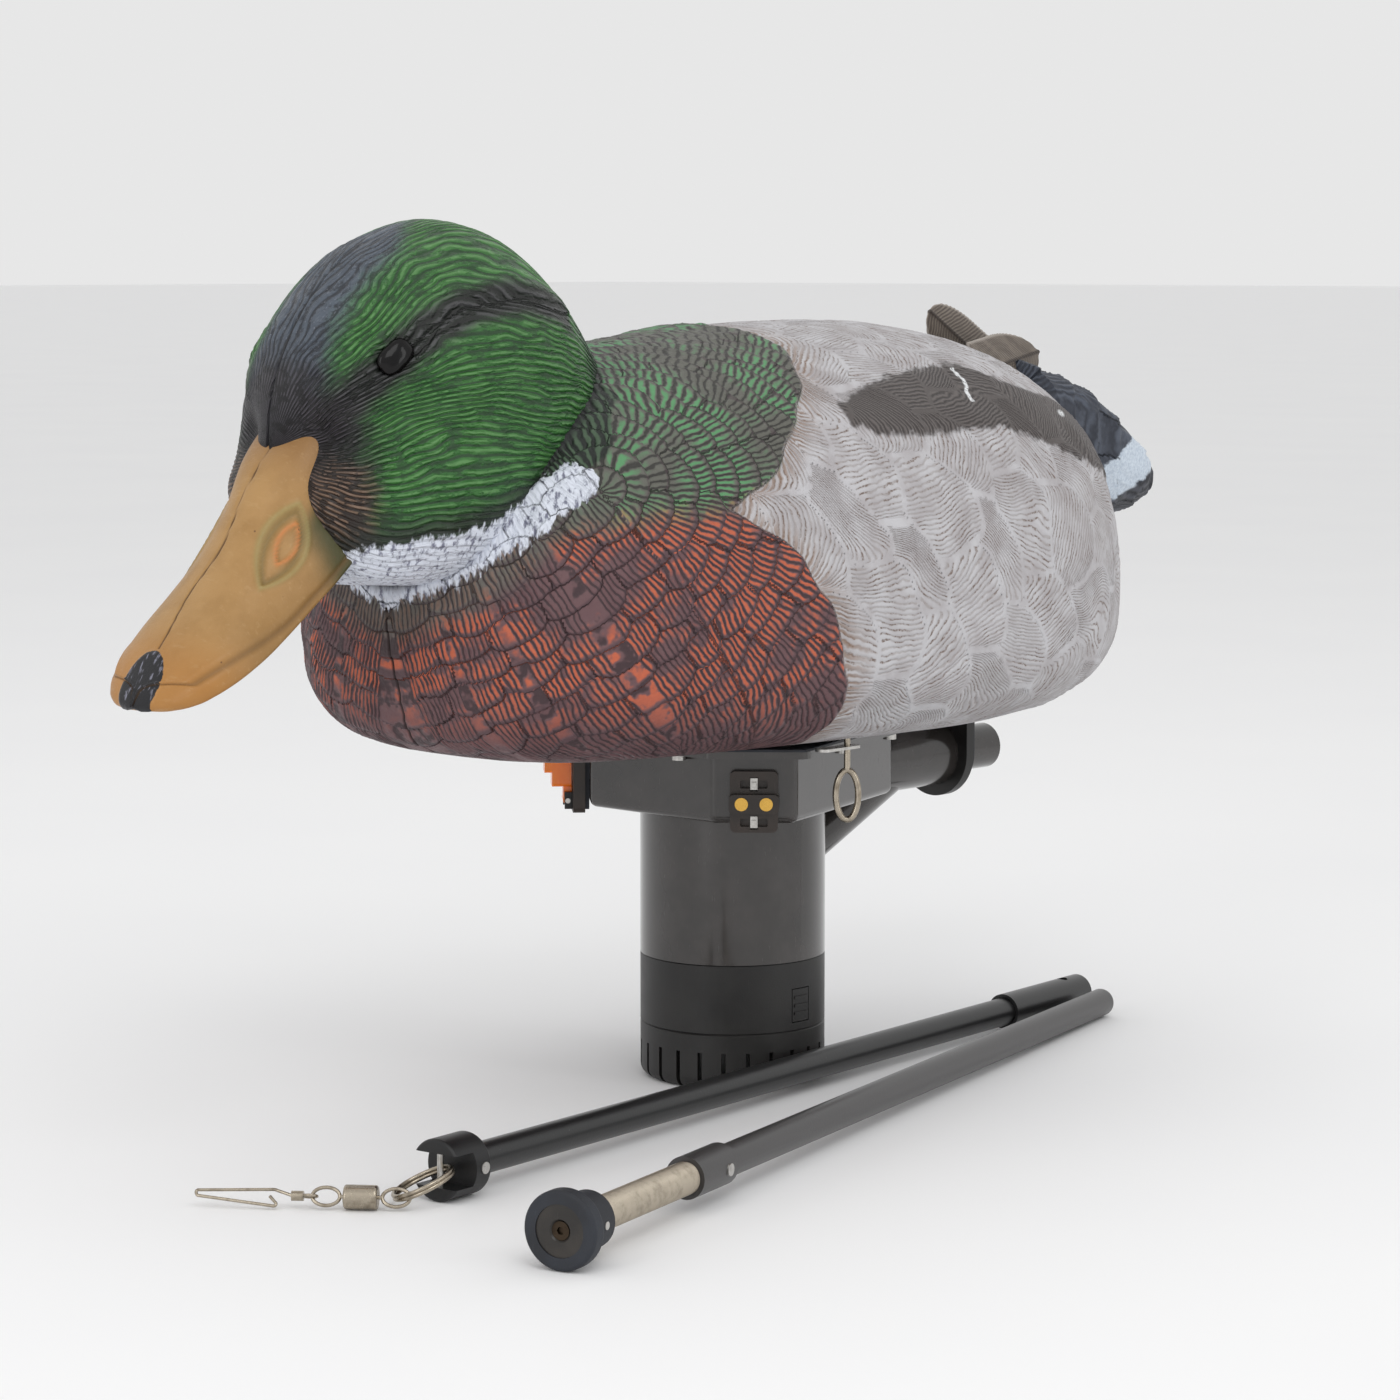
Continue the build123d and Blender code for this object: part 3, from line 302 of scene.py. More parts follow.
def closed_grid(name, points, material, values=None):
    """A closed skin from rows of points around an axis, with a point at each end."""
    rows, columns = points.shape[:2]
    ends = np.stack([points[0].mean(0), points[-1].mean(0)])
    i, j = np.meshgrid(np.arange(rows - 1), np.arange(columns), indexing="ij")
    k = (j + 1) % columns
    quads = np.stack([i * columns + j, i * columns + k, (i + 1) * columns + k, (i + 1) * columns + j], -1)
    quads = quads.reshape(-1, 4)
    ring = np.arange(columns)
    after = (ring + 1) % columns
    front = np.stack([np.full(columns, rows * columns), after, ring], -1)
    back = np.stack([np.full(columns, rows * columns + 1), (rows - 1) * columns + ring,
                     (rows - 1) * columns + after], -1)
    faces = [*quads, *front, *back]
    values = values or {}
    values = {key: np.concatenate([np.ravel(v), [v[0].mean(), v[-1].mean()]]) for key, v in values.items()}
    thing = link_mesh(name, np.concatenate([points.reshape(-1, 3), ends]), faces, material, values)
    if signed_volume(thing.data) < 0:
        thing.data.flip_normals()
    return thing


def signed_volume(mesh):
    """Six times the volume inside a closed mesh, below 0 where its faces look inwards."""
    mesh.calc_loop_triangles()
    corners = np.zeros(len(mesh.loop_triangles) * 3, np.int32)
    mesh.loop_triangles.foreach_get("vertices", corners)
    points = np.zeros(len(mesh.vertices) * 3, np.float32)
    mesh.vertices.foreach_get("co", points)
    a, b, c = points.reshape(-1, 3)[corners.reshape(-1, 3)].transpose(1, 0, 2)
    return float((a * np.cross(b, c)).sum())


# ---- Material tools ----
def srgb(red, green, blue):
    """A colour given as on a screen, 0 to 255, in the renderer's linear values."""
    linear = [((v / 255 + 0.055) / 1.055) ** 2.4 if v > 10.3 else v / 255 / 12.92 for v in (red, green, blue)]
    return (*linear, 1.0)


class Finish:
    """A node material that is built up layer by layer."""

    def __init__(self, name, **shader):
        self.material = bpy.data.materials.new(name)
        self.material.use_nodes = True
        self.tree = self.material.node_tree
        self.shader = self.tree.nodes["Principled BSDF"]
        self.place = self.tree.nodes.new("ShaderNodeTexCoord").outputs["Object"]
        for key, value in shader.items():
            self.shader.inputs[key.replace("_", " ").title().replace("Ior", "IOR")].default_value = value

    def put(self, socket, value):
        """Sets a socket from another one, a number, or a colour given as on a screen, 0 to 255."""
        if isinstance(value, tuple) and len(value) == 3:
            value = srgb(*value)
        if isinstance(value, bpy.types.NodeSocket):
            self.tree.links.new(value, socket)
        else:
            socket.default_value = value

    def math(self, kind, a, b=0.0, c=0.0):
        node = self.tree.nodes.new("ShaderNodeMath")
        node.operation = kind
        for socket, value in zip(node.inputs, (a, b, c)):
            self.put(socket, value)
        return node.outputs[0]

    def plus(self, a, b):
        return self.math("ADD", a, b)

    def times(self, a, b):
        return self.math("MULTIPLY", a, b)

    def scaled(self, value, factor, start):
        """A value times a factor, added to a start."""
        return self.math("MULTIPLY_ADD", value, factor, start)

    def value(self, name):
        node = self.tree.nodes.new("ShaderNodeAttribute")
        node.attribute_name = name
        return node.outputs["Fac"]

    def noise(self, size_mm, detail=3.0, roughness=0.55, distortion=0.0, stretch=(1, 1, 1)):
        """Noise from 0 to 1 with features of a size in millimetres, longer where stretch is above 1."""
        node = self.tree.nodes.new("ShaderNodeTexNoise")
        mapping = self.tree.nodes.new("ShaderNodeMapping")
        mapping.inputs["Scale"].default_value = [1 / s for s in stretch]
        self.put(mapping.inputs["Vector"], self.place)
        self.put(node.inputs["Vector"], mapping.outputs[0])
        for key, value in (("Scale", 1 / (size_mm * MM)), ("Detail", detail), ("Roughness", roughness),
                           ("Distortion", distortion)):
            node.inputs[key].default_value = value
        return node.outputs["Fac"]

    def ragged(self, size_mm, detail, reach, stretch=(1, 1, 1)):
        """Noise from -reach to reach."""
        return self.scaled(self.noise(size_mm, detail, stretch=stretch), 2 * reach, -reach)

    def cells(self, size_mm):
        """Distance to the nearest of scattered points, in cells of a size in millimetres."""
        node = self.tree.nodes.new("ShaderNodeTexVoronoi")
        self.put(node.inputs["Vector"], self.place)
        node.inputs["Scale"].default_value = 1 / (size_mm * MM)
        return node.outputs["Distance"]

    def step(self, value, low, high, start=0.0, end=1.0):
        """A smooth rise from start to end as the value goes from low to high."""
        node = self.tree.nodes.new("ShaderNodeMapRange")
        node.interpolation_type = "SMOOTHSTEP"
        for key, number in (("From Min", low), ("From Max", high), ("To Min", start), ("To Max", end)):
            self.put(node.inputs[key], number)
        self.put(node.inputs["Value"], value)
        return node.outputs["Result"]

    def mix(self, share, a, b, kind="MIX"):
        node = self.tree.nodes.new("ShaderNodeMix")
        node.data_type, node.blend_type = "RGBA", kind
        self.put(node.inputs[0], share)
        self.put(node.inputs[6], a)
        self.put(node.inputs[7], b)
        return node.outputs[2]

    def waves(self, value, pitch):
        """Ridges from 0 to 1 across a coordinate in millimetres."""
        wave = self.math("SINE", self.times(value, 2 * math.pi / pitch))
        return self.scaled(wave, 0.5, 0.5)

    def bump(self, height, depth_mm):
        node = self.tree.nodes.new("ShaderNodeBump")
        node.inputs["Distance"].default_value = depth_mm * MM
        self.put(node.inputs["Height"], height)
        return node.outputs["Normal"]

    def done(self, colour=None, roughness=None, normal=None):
        for key, value in (("Base Color", colour), ("Roughness", roughness), ("Normal", normal)):
            if value is not None:
                self.put(self.shader.inputs[key], value)
        return self.material


# ---- Duck paint ----
def collar_white(f):
    """Brushed white with lilac-grey streaks that hang down."""
    streaks = f.noise(2.2, 4, 0.6, stretch=(1, 1, 3.5))
    return f.mix(f.step(streaks, 0.50, 0.66), (214, 219, 230), (116, 118, 136))


def dusky_green(f, ridges):
    """The neck's green-black, lit along its ridges."""
    return f.mix(f.step(ridges, 0.3, 0.9), (26, 32, 28), (66, 86, 66))


def body_paint():
    """Airbrushed mallard colours over the carved feathers, with painted shade in the barb grooves and next to
    the head.
    """
    f = Finish("duck_body_paint", specular_ior_level=0.35)
    grain = f.noise(1.1, 4)
    blotch = f.noise(14, 3)
    patchy = f.noise(24, 4, 0.6)
    ragged = f.ragged(5, 3, 4.0)
    streak = f.ragged(2.4, 2, 8.0, (1, 1, 3.5))
    ahead, barb = f.value("ahead"), f.value("barb")
    fine = f.scaled(f.noise(7, 2), 3.0, barb)
    ridges = f.waves(fine, BARB_PITCH)
    flank_ridges = f.mix(f.value("border"), f.waves(fine, FLANK_PITCH), (0.6, 0.6, 0.6, 1))
    rim = f.step(ahead, 0.4, 1.8)

    pale = f.mix(f.step(blotch, 0.3, 0.7), (190, 189, 192), (168, 164, 166))
    specks = f.times(f.step(flank_ridges, 0.35, 0.05), f.step(f.noise(9, 4, 0.7), 0.44, 0.58))
    specks = f.times(specks, f.step(ahead, 0.8, 2.0))
    pale = f.mix(f.times(specks, f.step(grain, 0.35, 0.6)), pale, (104, 86, 78))
    pale = f.mix(f.step(flank_ridges, 0.5, 0.0, 0.0, 0.36), pale, (132, 120, 112))
    colour = pale

    plum = f.mix(blotch, (112, 82, 84), (90, 66, 70))
    dash = f.times(f.step(ridges, 0.40, 0.80), f.step(patchy, 0.40, 0.54))
    reach = f.scaled(f.noise(6, 2), -17.0, ahead)
    dash = f.times(dash, f.times(f.step(ahead, 1.2, 2.6), f.step(reach, 2.5, -0.5)))
    dash = f.times(dash, f.step(f.value("hull"), 8, 40))
    breast = f.mix(f.times(dash, 0.85), plum, f.mix(grain, (206, 104, 66), (180, 88, 60)))
    olive = f.mix(blotch, (104, 104, 96), (84, 84, 78))
    green_dash = f.times(f.step(ridges, 0.35, 0.85), f.step(f.noise(30, 3), 0.40, 0.58))
    green_dash = f.times(green_dash, f.step(ahead, 1.4, 3.4))
    shoulder = f.mix(f.times(green_dash, 0.8), olive, (86, 152, 100))
    above = f.plus(f.value("shoulder"), f.times(ragged, 1.5))
    below_collar = f.plus(f.value("collar"), ragged)
    front = f.mix(f.step(above, -7, 7), breast, shoulder)
    front = f.mix(f.step(below_collar, -22, -7, 0.0, 0.85), front, olive)
    # painted shade in the barb grooves, darker between the ridges
    groove_shade = f.mix(f.step(above, -4, 4), (52, 38, 42), (40, 38, 36))
    front = f.mix(f.step(ridges, 0.42, 0.05, 0.0, 0.85), front, groove_shade)
    front = f.mix(f.step(rim, 1.0, 0.0, 0.0, 0.55), front, (66, 50, 56))

    edge = f.plus(f.value("front"), f.times(ragged, 0.5))
    umber = f.mix(grain, (112, 84, 66), (150, 124, 104))
    colour = f.mix(f.times(f.step(edge, -16, 0), f.step(ridges, 0.2, 0.9, 0.1, 0.75)), colour, umber)
    colour = f.mix(f.step(edge, -1.5, 1.5), colour, front)

    patch_edge = f.plus(f.value("patch"), f.times(ragged, 0.8))
    taupe = f.mix(flank_ridges, (58, 53, 52), (98, 92, 90))
    colour = f.mix(f.step(patch_edge, -1.5, 1.0), colour, taupe)
    white_mark = f.times(f.step(f.value("mark"), -0.4, 0.6), f.step(grain, 0.3, 0.5))
    colour = f.mix(white_mark, colour, (226, 228, 230))
    rump = f.plus(f.value("rump"), ragged)
    colour = f.mix(f.step(rump, -3, 3), colour, f.mix(grain, (34, 36, 42), (52, 54, 60)))

    collar = f.plus(f.value("collar"), f.plus(streak, f.times(ragged, 0.5)))
    colour = f.mix(f.step(f.plus(f.value("neck"), ragged), -3, 2), colour, dusky_green(f, ridges))
    colour = f.mix(f.step(collar, -2.0, 0.5), colour, collar_white(f))
    colour = f.mix(f.step(f.value("seam"), 1.0, 0.3), colour, (48, 34, 34))
    # painted shade on the body next to the head, where the head overhangs it
    colour = f.mix(f.step(f.value("crease"), 4.5, 0.5, 0.0, 0.85), colour, (36, 36, 38))
    deep = f.scaled(f.value("is_front"), 0.18, 0.32)
    height = f.times(f.math("POWER", f.mix(f.value("is_front"), flank_ridges, ridges), 0.7), deep)
    height = f.scaled(grain, 0.12, height)
    return f.done(colour, f.step(grain, 0.2, 0.8, 0.42, 0.62), f.bump(height, 1.0))


def head_paint():
    """Green head with a slate crown and a brown cheek mark, with painted shade along the eye line, at the
    bill's root and above the collar, and painted highlights on the hair ridges.
    """
    f = Finish("duck_head_paint", specular_ior_level=0.4)
    grain, blotch = f.noise(0.9, 4), f.noise(12, 3)
    ragged = f.ragged(6, 3, 5.0, (1, 2.2, 1))
    broken = f.step(f.noise(4, 3, 0.6, stretch=(1, 3, 1)), 0.36, 0.52, 0.15, 1.0)
    ridge = f.times(f.waves(f.value("hair"), HAIR_PITCH), broken)
    fine = f.waves(f.scaled(f.noise(9, 2), 5.0, f.value("hair")), HAIR_PITCH / 2)
    muzzle = f.step(f.value("muzzle"), 0.0, 1.0, 0.25, 1.0)
    height = f.times(f.times(ridge, 0.75), muzzle)

    green = f.mix(f.step(blotch, 0.3, 0.7), (40, 92, 38), (56, 110, 50))
    # painted highlight on the hair ridges and painted shade in the grooves between them
    green = f.mix(f.step(ridge, 0.55, 1.0, 0.0, 0.55), green, (98, 146, 88))
    green = f.mix(f.step(ridge, 0.35, 0.0, 0.0, 0.8), green, (20, 44, 24))
    slate = f.mix(blotch, (62, 68, 78), (88, 98, 110))
    # painted shade in the slate's grooves and painted highlight on its fine lines
    slate = f.mix(f.step(ridge, 0.4, 0.0, 0.0, 0.85), slate, (30, 32, 38))
    slate = f.mix(f.times(f.step(fine, 0.7, 1.0), f.step(grain, 0.5, 0.7, 0.0, 0.5)), slate,
                  (140, 146, 158))
    # black and brown, each with painted highlight on the ridges
    black = f.mix(f.step(ridge, 0.3, 1.0), (24, 22, 24), (66, 62, 68))
    brown = f.mix(f.step(ridge, 0.2, 0.9), (44, 34, 30), (128, 104, 88))

    colour = f.mix(f.step(f.plus(f.value("crown"), ragged), -6, 8), green, slate)
    # painted shade at the front of the head where it meets the bill and under the cheek's bulge
    colour = f.mix(f.step(f.plus(f.value("face"), ragged), -9, 7, 0.0, 0.95), colour, black)
    cheek = f.plus(f.value("cheek"), ragged)
    colour = f.mix(f.step(cheek, -5, 6, 0.0, 0.9), colour, brown)
    # painted shade along the carved groove of the eye line
    colour = f.mix(f.step(f.scaled(ragged, 0.6, f.value("eyeline")), 12.0, 4.0, 0.0, 0.95), colour,
                   black)
    low = f.value("low")
    # painted shade on the head's lower edge just above the collar
    colour = f.mix(f.step(low, 13, 2, 0.0, 0.9), colour, (26, 30, 26))
    teeth = f.ragged(2.4, 3, 6.0, (1, 1, 3))
    colour = f.mix(f.step(f.plus(low, teeth), 1.0, -1.5), colour, collar_white(f))
    colour = f.mix(f.step(f.value("nape"), -4, 12, 0.0, 0.75), colour, (34, 40, 38))
    colour = f.mix(f.step(f.value("seam"), 0.9, 0.2, 0.0, 0.9), colour, (30, 30, 34))
    lift = f.scaled(fine, 0.22, f.times(grain, 0.14))
    return f.done(colour, f.step(grain, 0.2, 0.8, 0.34, 0.52), f.bump(f.plus(lift, height), 1.0))


def bill_paint():
    """Satin tan bill with an ochre lip and a black nail, and painted shade on its sides, at its root and in
    the groove round the nostril.
    """
    f = Finish("bill_paint", specular_ior_level=0.4)
    grain, blotch = f.noise(0.8, 3), f.noise(19, 4, 0.6)
    along, level = f.value("along"), f.value("level")
    tan = f.mix(f.step(blotch, 0.3, 0.72), (172, 134, 84), (158, 120, 70))
    # painted shade down the bill's sides and underside, lighter on top
    tan = f.mix(f.step(level, 0.9, 0.1, 0.0, 0.45), tan, (132, 96, 44))
    tan = f.mix(f.step(along, 0.72, 0.98, 0.0, 0.65), tan, (174, 118, 54))
    # painted shade at the bill's root, next to the head
    tan = f.mix(f.step(along, 0.24, 0.04, 0.0, 0.6), tan, (128, 90, 50))
    streaks = f.step(f.noise(2.6, 4, 0.6, stretch=(4, 0.8, 0.8)), 0.56, 0.70, 0.0, 0.22)
    tan = f.mix(streaks, tan, (188, 154, 108))
    # painted shade on the sides of the bill's root, under the cheek
    tan = f.mix(f.step(f.scaled(blotch, 0.3, f.value("shade")), 0.1, 1.0, 0.0, 0.92), tan,
                (56, 62, 30))
    # painted shade in the groove round the nostril
    tan = f.mix(f.times(f.value("moat"), 0.55), tan, (96, 90, 44))
    tan = f.mix(f.times(f.value("ring"), 0.6), tan, (150, 140, 88))
    tan = f.mix(f.times(f.value("pit"), 0.7), tan, (204, 122, 60))
    worn = f.step(f.noise(2.2, 4, stretch=(0.6, 2, 2.4)), 0.55, 0.68)
    nail = f.mix(worn, (22, 22, 26), (120, 120, 134))
    nail_edge = f.scaled(f.noise(2.5, 3), 0.7, f.value("nail"))
    colour = f.mix(f.step(nail_edge, 0.75, 0.95), tan, nail)
    colour = f.mix(f.step(f.value("seam"), 0.75, 0.25, 0.0, 0.8), colour, (70, 46, 26))
    colour = f.mix(f.times(f.value("lip"), 0.6), colour, (108, 78, 38))
    colour = f.mix(f.step(f.cells(11), 0.05, 0.03, 0.0, 0.8), colour, (92, 60, 36))
    rough = f.step(grain, 0.2, 0.8, 0.36, 0.50)
    return f.done(colour, rough, f.bump(f.scaled(blotch, 0.4, f.times(grain, 0.12)), 0.8))


def tail_paint():
    """Slate tail with carved vanes and a broad white band along each side."""
    f = Finish("tail_paint", specular_ior_level=0.35)
    grain = f.noise(1.2, 4)
    vane = f.waves(f.scaled(f.noise(8, 2), 4.0, f.value("vane")), 2.2)
    slate = f.mix(vane, (40, 44, 54), (78, 84, 96))
    slate = f.mix(f.step(f.noise(9, 3), 0.45, 0.7), slate, (56, 60, 70))
    ragged = f.ragged(4, 3, 4.5, (1, 3, 1))
    band = f.plus(f.value("band"), ragged)
    white = f.mix(f.step(grain, 0.3, 0.7), (206, 216, 226), (178, 190, 204))
    colour = f.mix(f.step(band, -1, 1), slate, white)
    dark = f.mix(vane, (34, 36, 42), (70, 72, 80))
    colour = f.mix(f.step(f.value("under"), -1, 1.5), colour, dark)
    height = f.scaled(grain, 0.2, f.times(vane, 0.4))
    return f.done(colour, 0.5, f.bump(height, 0.7))


def wing_paint():
    """Brown-grey flight feathers with a pale edge and fine barbs."""
    f = Finish("wing_tip_paint", specular_ior_level=0.35)
    grain = f.noise(1.2, 4)
    barbs = f.waves(f.scaled(f.noise(8, 2), 2.0, f.value("barb")), 1.9)
    colour = f.mix(barbs, (88, 80, 74), (128, 118, 108))
    colour = f.mix(f.step(f.noise(10, 3), 0.4, 0.7, 0.0, 0.6), colour, (100, 92, 84))
    colour = f.mix(f.step(f.value("edge"), 0.86, 0.97, 0.0, 0.8), colour, (168, 160, 152))
    colour = f.mix(f.step(f.value("shaft"), 1.2, 0.4, 0.0, 0.8), colour, (56, 48, 44))
    height = f.scaled(grain, 0.2, f.times(barbs, 0.4))
    return f.done(colour, 0.5, f.bump(height, 0.5))


def rump_paint():
    """Near-black carved rump feathers."""
    f = Finish("rump_paint", specular_ior_level=0.4)
    grain = f.noise(1.3, 4)
    lines = f.noise(1.8, 3, stretch=(1, 3.5, 1))
    colour = f.mix(f.step(lines, 0.4, 0.65), (24, 25, 30), (54, 56, 64))
    return f.done(colour, f.step(grain, 0.2, 0.8, 0.42, 0.6), f.bump(f.plus(lines, grain), 0.5))


def eye_gloss():
    """A glossy near-black eye with a faint brown iris."""
    f = Finish("eye_gloss", coat_weight=0.3, coat_roughness=0.05, specular_ior_level=0.1)
    ring_place = f.step(f.value("out"), 0.35, 0.8)
    colour = f.mix(f.times(ring_place, f.noise(1.5, 2)), (5, 5, 6), (16, 13, 13))
    return f.done(colour, f.step(f.noise(3, 2), 0.3, 0.7, 0.20, 0.30), f.bump(f.noise(2.5, 2), 0.05))


# ---- Duck body ----
def front_distance(points):
    """How far inside the dark front plumage each point lies, in millimetres."""
    y, z = points[..., 1], points[..., 2]
    edge = np.interp(z, FRONT_EDGE_Z, FRONT_EDGE_Y)
    return (edge - y) * 0.85 + 2.5 * noise(points, 14, 4)


def patch_distance(points):
    """How far inside the brown side patch each point lies."""
    x, y, z = np.abs(points[..., 0]), points[..., 1], points[..., 2]
    top = np.interp(y, PATCH_Y, PATCH_TOP)
    low = np.interp(y, PATCH_Y, PATCH_LOW)
    teeth = 3.5 * np.maximum(0, noise(points * (0, 1, 0), 9, 8) - 0.3)
    inside = np.minimum(top - z, z - low + teeth)
    inside = np.minimum(inside, np.minimum(y - PATCH_FRONT_Y, PATCH_BACK_Y - y))
    return np.where(x > 30, inside, -9.0)


def make_body():
    points, turn = duck_skin(BODY_SECTIONS)
    side = mirrored(points)
    normal = normals_of(points)
    x, y, z = side[..., 0], side[..., 1], side[..., 2]

    warp = 3.0 * noise(points, 23, 1)
    reach, place, away = to_line(side, COLLAR_LINE)
    end = place > 0.999 * place.max()
    fan = np.where(end, np.arctan2(away[..., 2] - 0.25 * away[..., 0], away[..., 1]), FAN_START)
    front = front_distance(side)
    is_front = soft_step(-2, 2, front)
    ahead_f, barb_f = feathers(reach + warp, lambda row: place + (fan - FAN_START) * row + 0.6 * warp,
                               ROW_PITCH, FEATHER_W, ROW_DEPTH, 0.12)
    keel = len(turn) * 3 // 4
    spans = np.roll(np.linalg.norm(np.roll(points, -1, 1) - points, axis=-1), -keel, 1)
    girth = np.roll(np.cumsum(spans, axis=1), keel, 1)
    lean = 0.35 * (z - 240)
    ahead_b, barb_b = feathers(y + 200 + lean + 2 * warp, lambda row: girth + 2 * warp,
                               FLANK_ROW_PITCH, FLANK_FEATHER_W, FLANK_ROW_DEPTH, 1.25)
    ahead = np.where(is_front > 0.5, ahead_f, ahead_b)
    barb = np.where(is_front > 0.5, barb_f, barb_b)
    down, across = np.abs(np.roll(barb, -1, 0) - barb), np.abs(np.roll(barb, -1, 1) - barb)
    apart = (np.maximum(down, across) > FEATHER_JUMP).astype(float)
    border = np.maximum.reduce([np.roll(apart, shift, (0, 1)) for shift in ((0, 0), (1, 0), (0, 1), (1, 1))])

    patch = patch_distance(side)
    above = z - NOTCH_Z - 0.10 * (y + 105)
    collar_low = np.interp(x, COLLAR_LINE[:, 0], COLLAR_LINE[:, 2])
    collar_high = np.interp(x, COLLAR_HIGH_X, COLLAR_HIGH_Z)
    neck = np.where(y < -120, z - collar_high, -30) - 40 * soft_step(-150, -120, y)
    neck = neck - 1.2 * np.maximum(0, x - 66)
    collar = np.where(y < -146, np.minimum(z - collar_low, collar_high + 4 - z), -30)
    collar = collar - 14 * soft_step(-158, -148, y)
    rump = np.minimum(y - 158 + 0.25 * (z - 290), z - 240 - 0.15 * x) - 10 * soft_step(55, 75, x)
    seam = np.abs(points[..., 0] - 1.2 * np.sin(z / 9)) + np.where((y > -120) | (z > 216), 9, 0)
    jag = 1.4 * np.sin(z / 1.6)
    streak = np.abs(y - 62 + 0.55 * (306 - z) + jag) + 9 * (z < 291) + 9 * (z > 305)
    fleck = np.hypot((y - 126) / 4.0, (z - 284) / 1.4) + 0.3
    mark = 1.3 - np.minimum(streak, fleck)

    hull = z - LANDING_Z
    strength = soft_step(1, 9, hull)
    tip = np.exp(-ahead / 3.2)
    groove = bell(ahead - 0.4, 0.8)
    height = is_front * (0.95 * tip - 0.45 * groove) + (1 - is_front) * 0.26 * np.exp(-ahead / 9)
    barbs = waves(barb + 1.2 * noise(points, 7, 2), BARB_PITCH)
    height += is_front * 0.22 * barbs * soft_step(0.5, 2.5, ahead)
    folds = waves(barb + 3.0 * noise(points, 15, 6), 2.1 * FLANK_PITCH)
    height += (1 - is_front) * (1 - border) * 0.24 * folds * soft_step(-0.6, 0.2, noise(points, 17, 9))
    height += 0.5 * noise(points, 16, 3)
    height += 1.3 * soft_step(-2, 2, front) * soft_step(14, 2, front)
    height += 1.1 * soft_step(-1.5, 2.5, patch)
    height += 1.3 * soft_step(-1, 3, collar) * (1 + 0.5 * noise(points * (1, 1, 0.3), 3.2, 12))
    height -= 0.9 * soft_step(0.9, 0.1, seam)
    height -= 0.48 * soft_step(6, 0, x) * soft_step(-95, -60, y) * soft_step(150, 110, y)
    points = points + normal * (height * strength)[..., None]

    points[..., 2] = seated(points, z)
    values = {"ahead": ahead, "barb": barb, "front": front, "is_front": is_front, "shoulder": above,
              "collar": collar, "neck": neck, "patch": patch, "rump": rump, "seam": seam, "mark": mark,
              "hull": hull, "border": border, "crease": head_gap(side)}
    return closed_grid("duck_body", points, body_paint(), values)


def seated(points, plain_z):
    """Heights that leave the landing and the pad flat and keep the relief off the lowest part of the hull."""
    x, y, z = points[..., 0], points[..., 1], points[..., 2]
    pad = (np.abs(x) < PAD_HALF_X) & (y > PAD_FRONT_Y) & (y < PAD_BACK_Y)
    z = np.where(pad & (z < MIDDLE_Z), np.maximum(z, PAD_Z), z)
    z = np.where(plain_z - LANDING_Z < 6, np.minimum(z, plain_z + 0.2), z)
    landing = convex_inside(points[..., :2], LANDING_PLAN) > -LANDING_MARGIN
    return np.where(landing & (z < MIDDLE_Z), np.maximum(z, LANDING_Z), z)


def convex_inside(plan, outline):
    """Distance inside a convex outline that runs counter-clockwise, below 0 outside it."""
    inside = np.full(plan.shape[:-1], 1e9)
    for a, b in zip(outline, outline[1:] + outline[:1]):
        way = np.subtract(b, a) / np.hypot(*np.subtract(b, a))
        offset = plan - a
        inside = np.minimum(inside, way[0] * offset[..., 1] - way[1] * offset[..., 0])
    return inside


def head_gap(points):
    """Rough distance outside the head's form, in millimetres."""
    table = np.array(HEAD_SECTIONS, float)
    y = np.clip(points[..., 1], -256, -103)
    half_w, low, high, widest = [curve_through(table[:, 0], table[:, i], y) for i in range(1, 5)]
    shrink = 1 - 0.9 * soft_step(-104, -92, points[..., 1])
    half_w = half_w * shrink
    z_mid = low + (high - low) * widest
    reach = np.where(points[..., 2] > z_mid, high - z_mid, z_mid - low) * shrink
    ratio = np.hypot(points[..., 0] / half_w, (points[..., 2] - z_mid) / reach)
    return np.maximum(0, (ratio - 1) * np.minimum(half_w, reach))


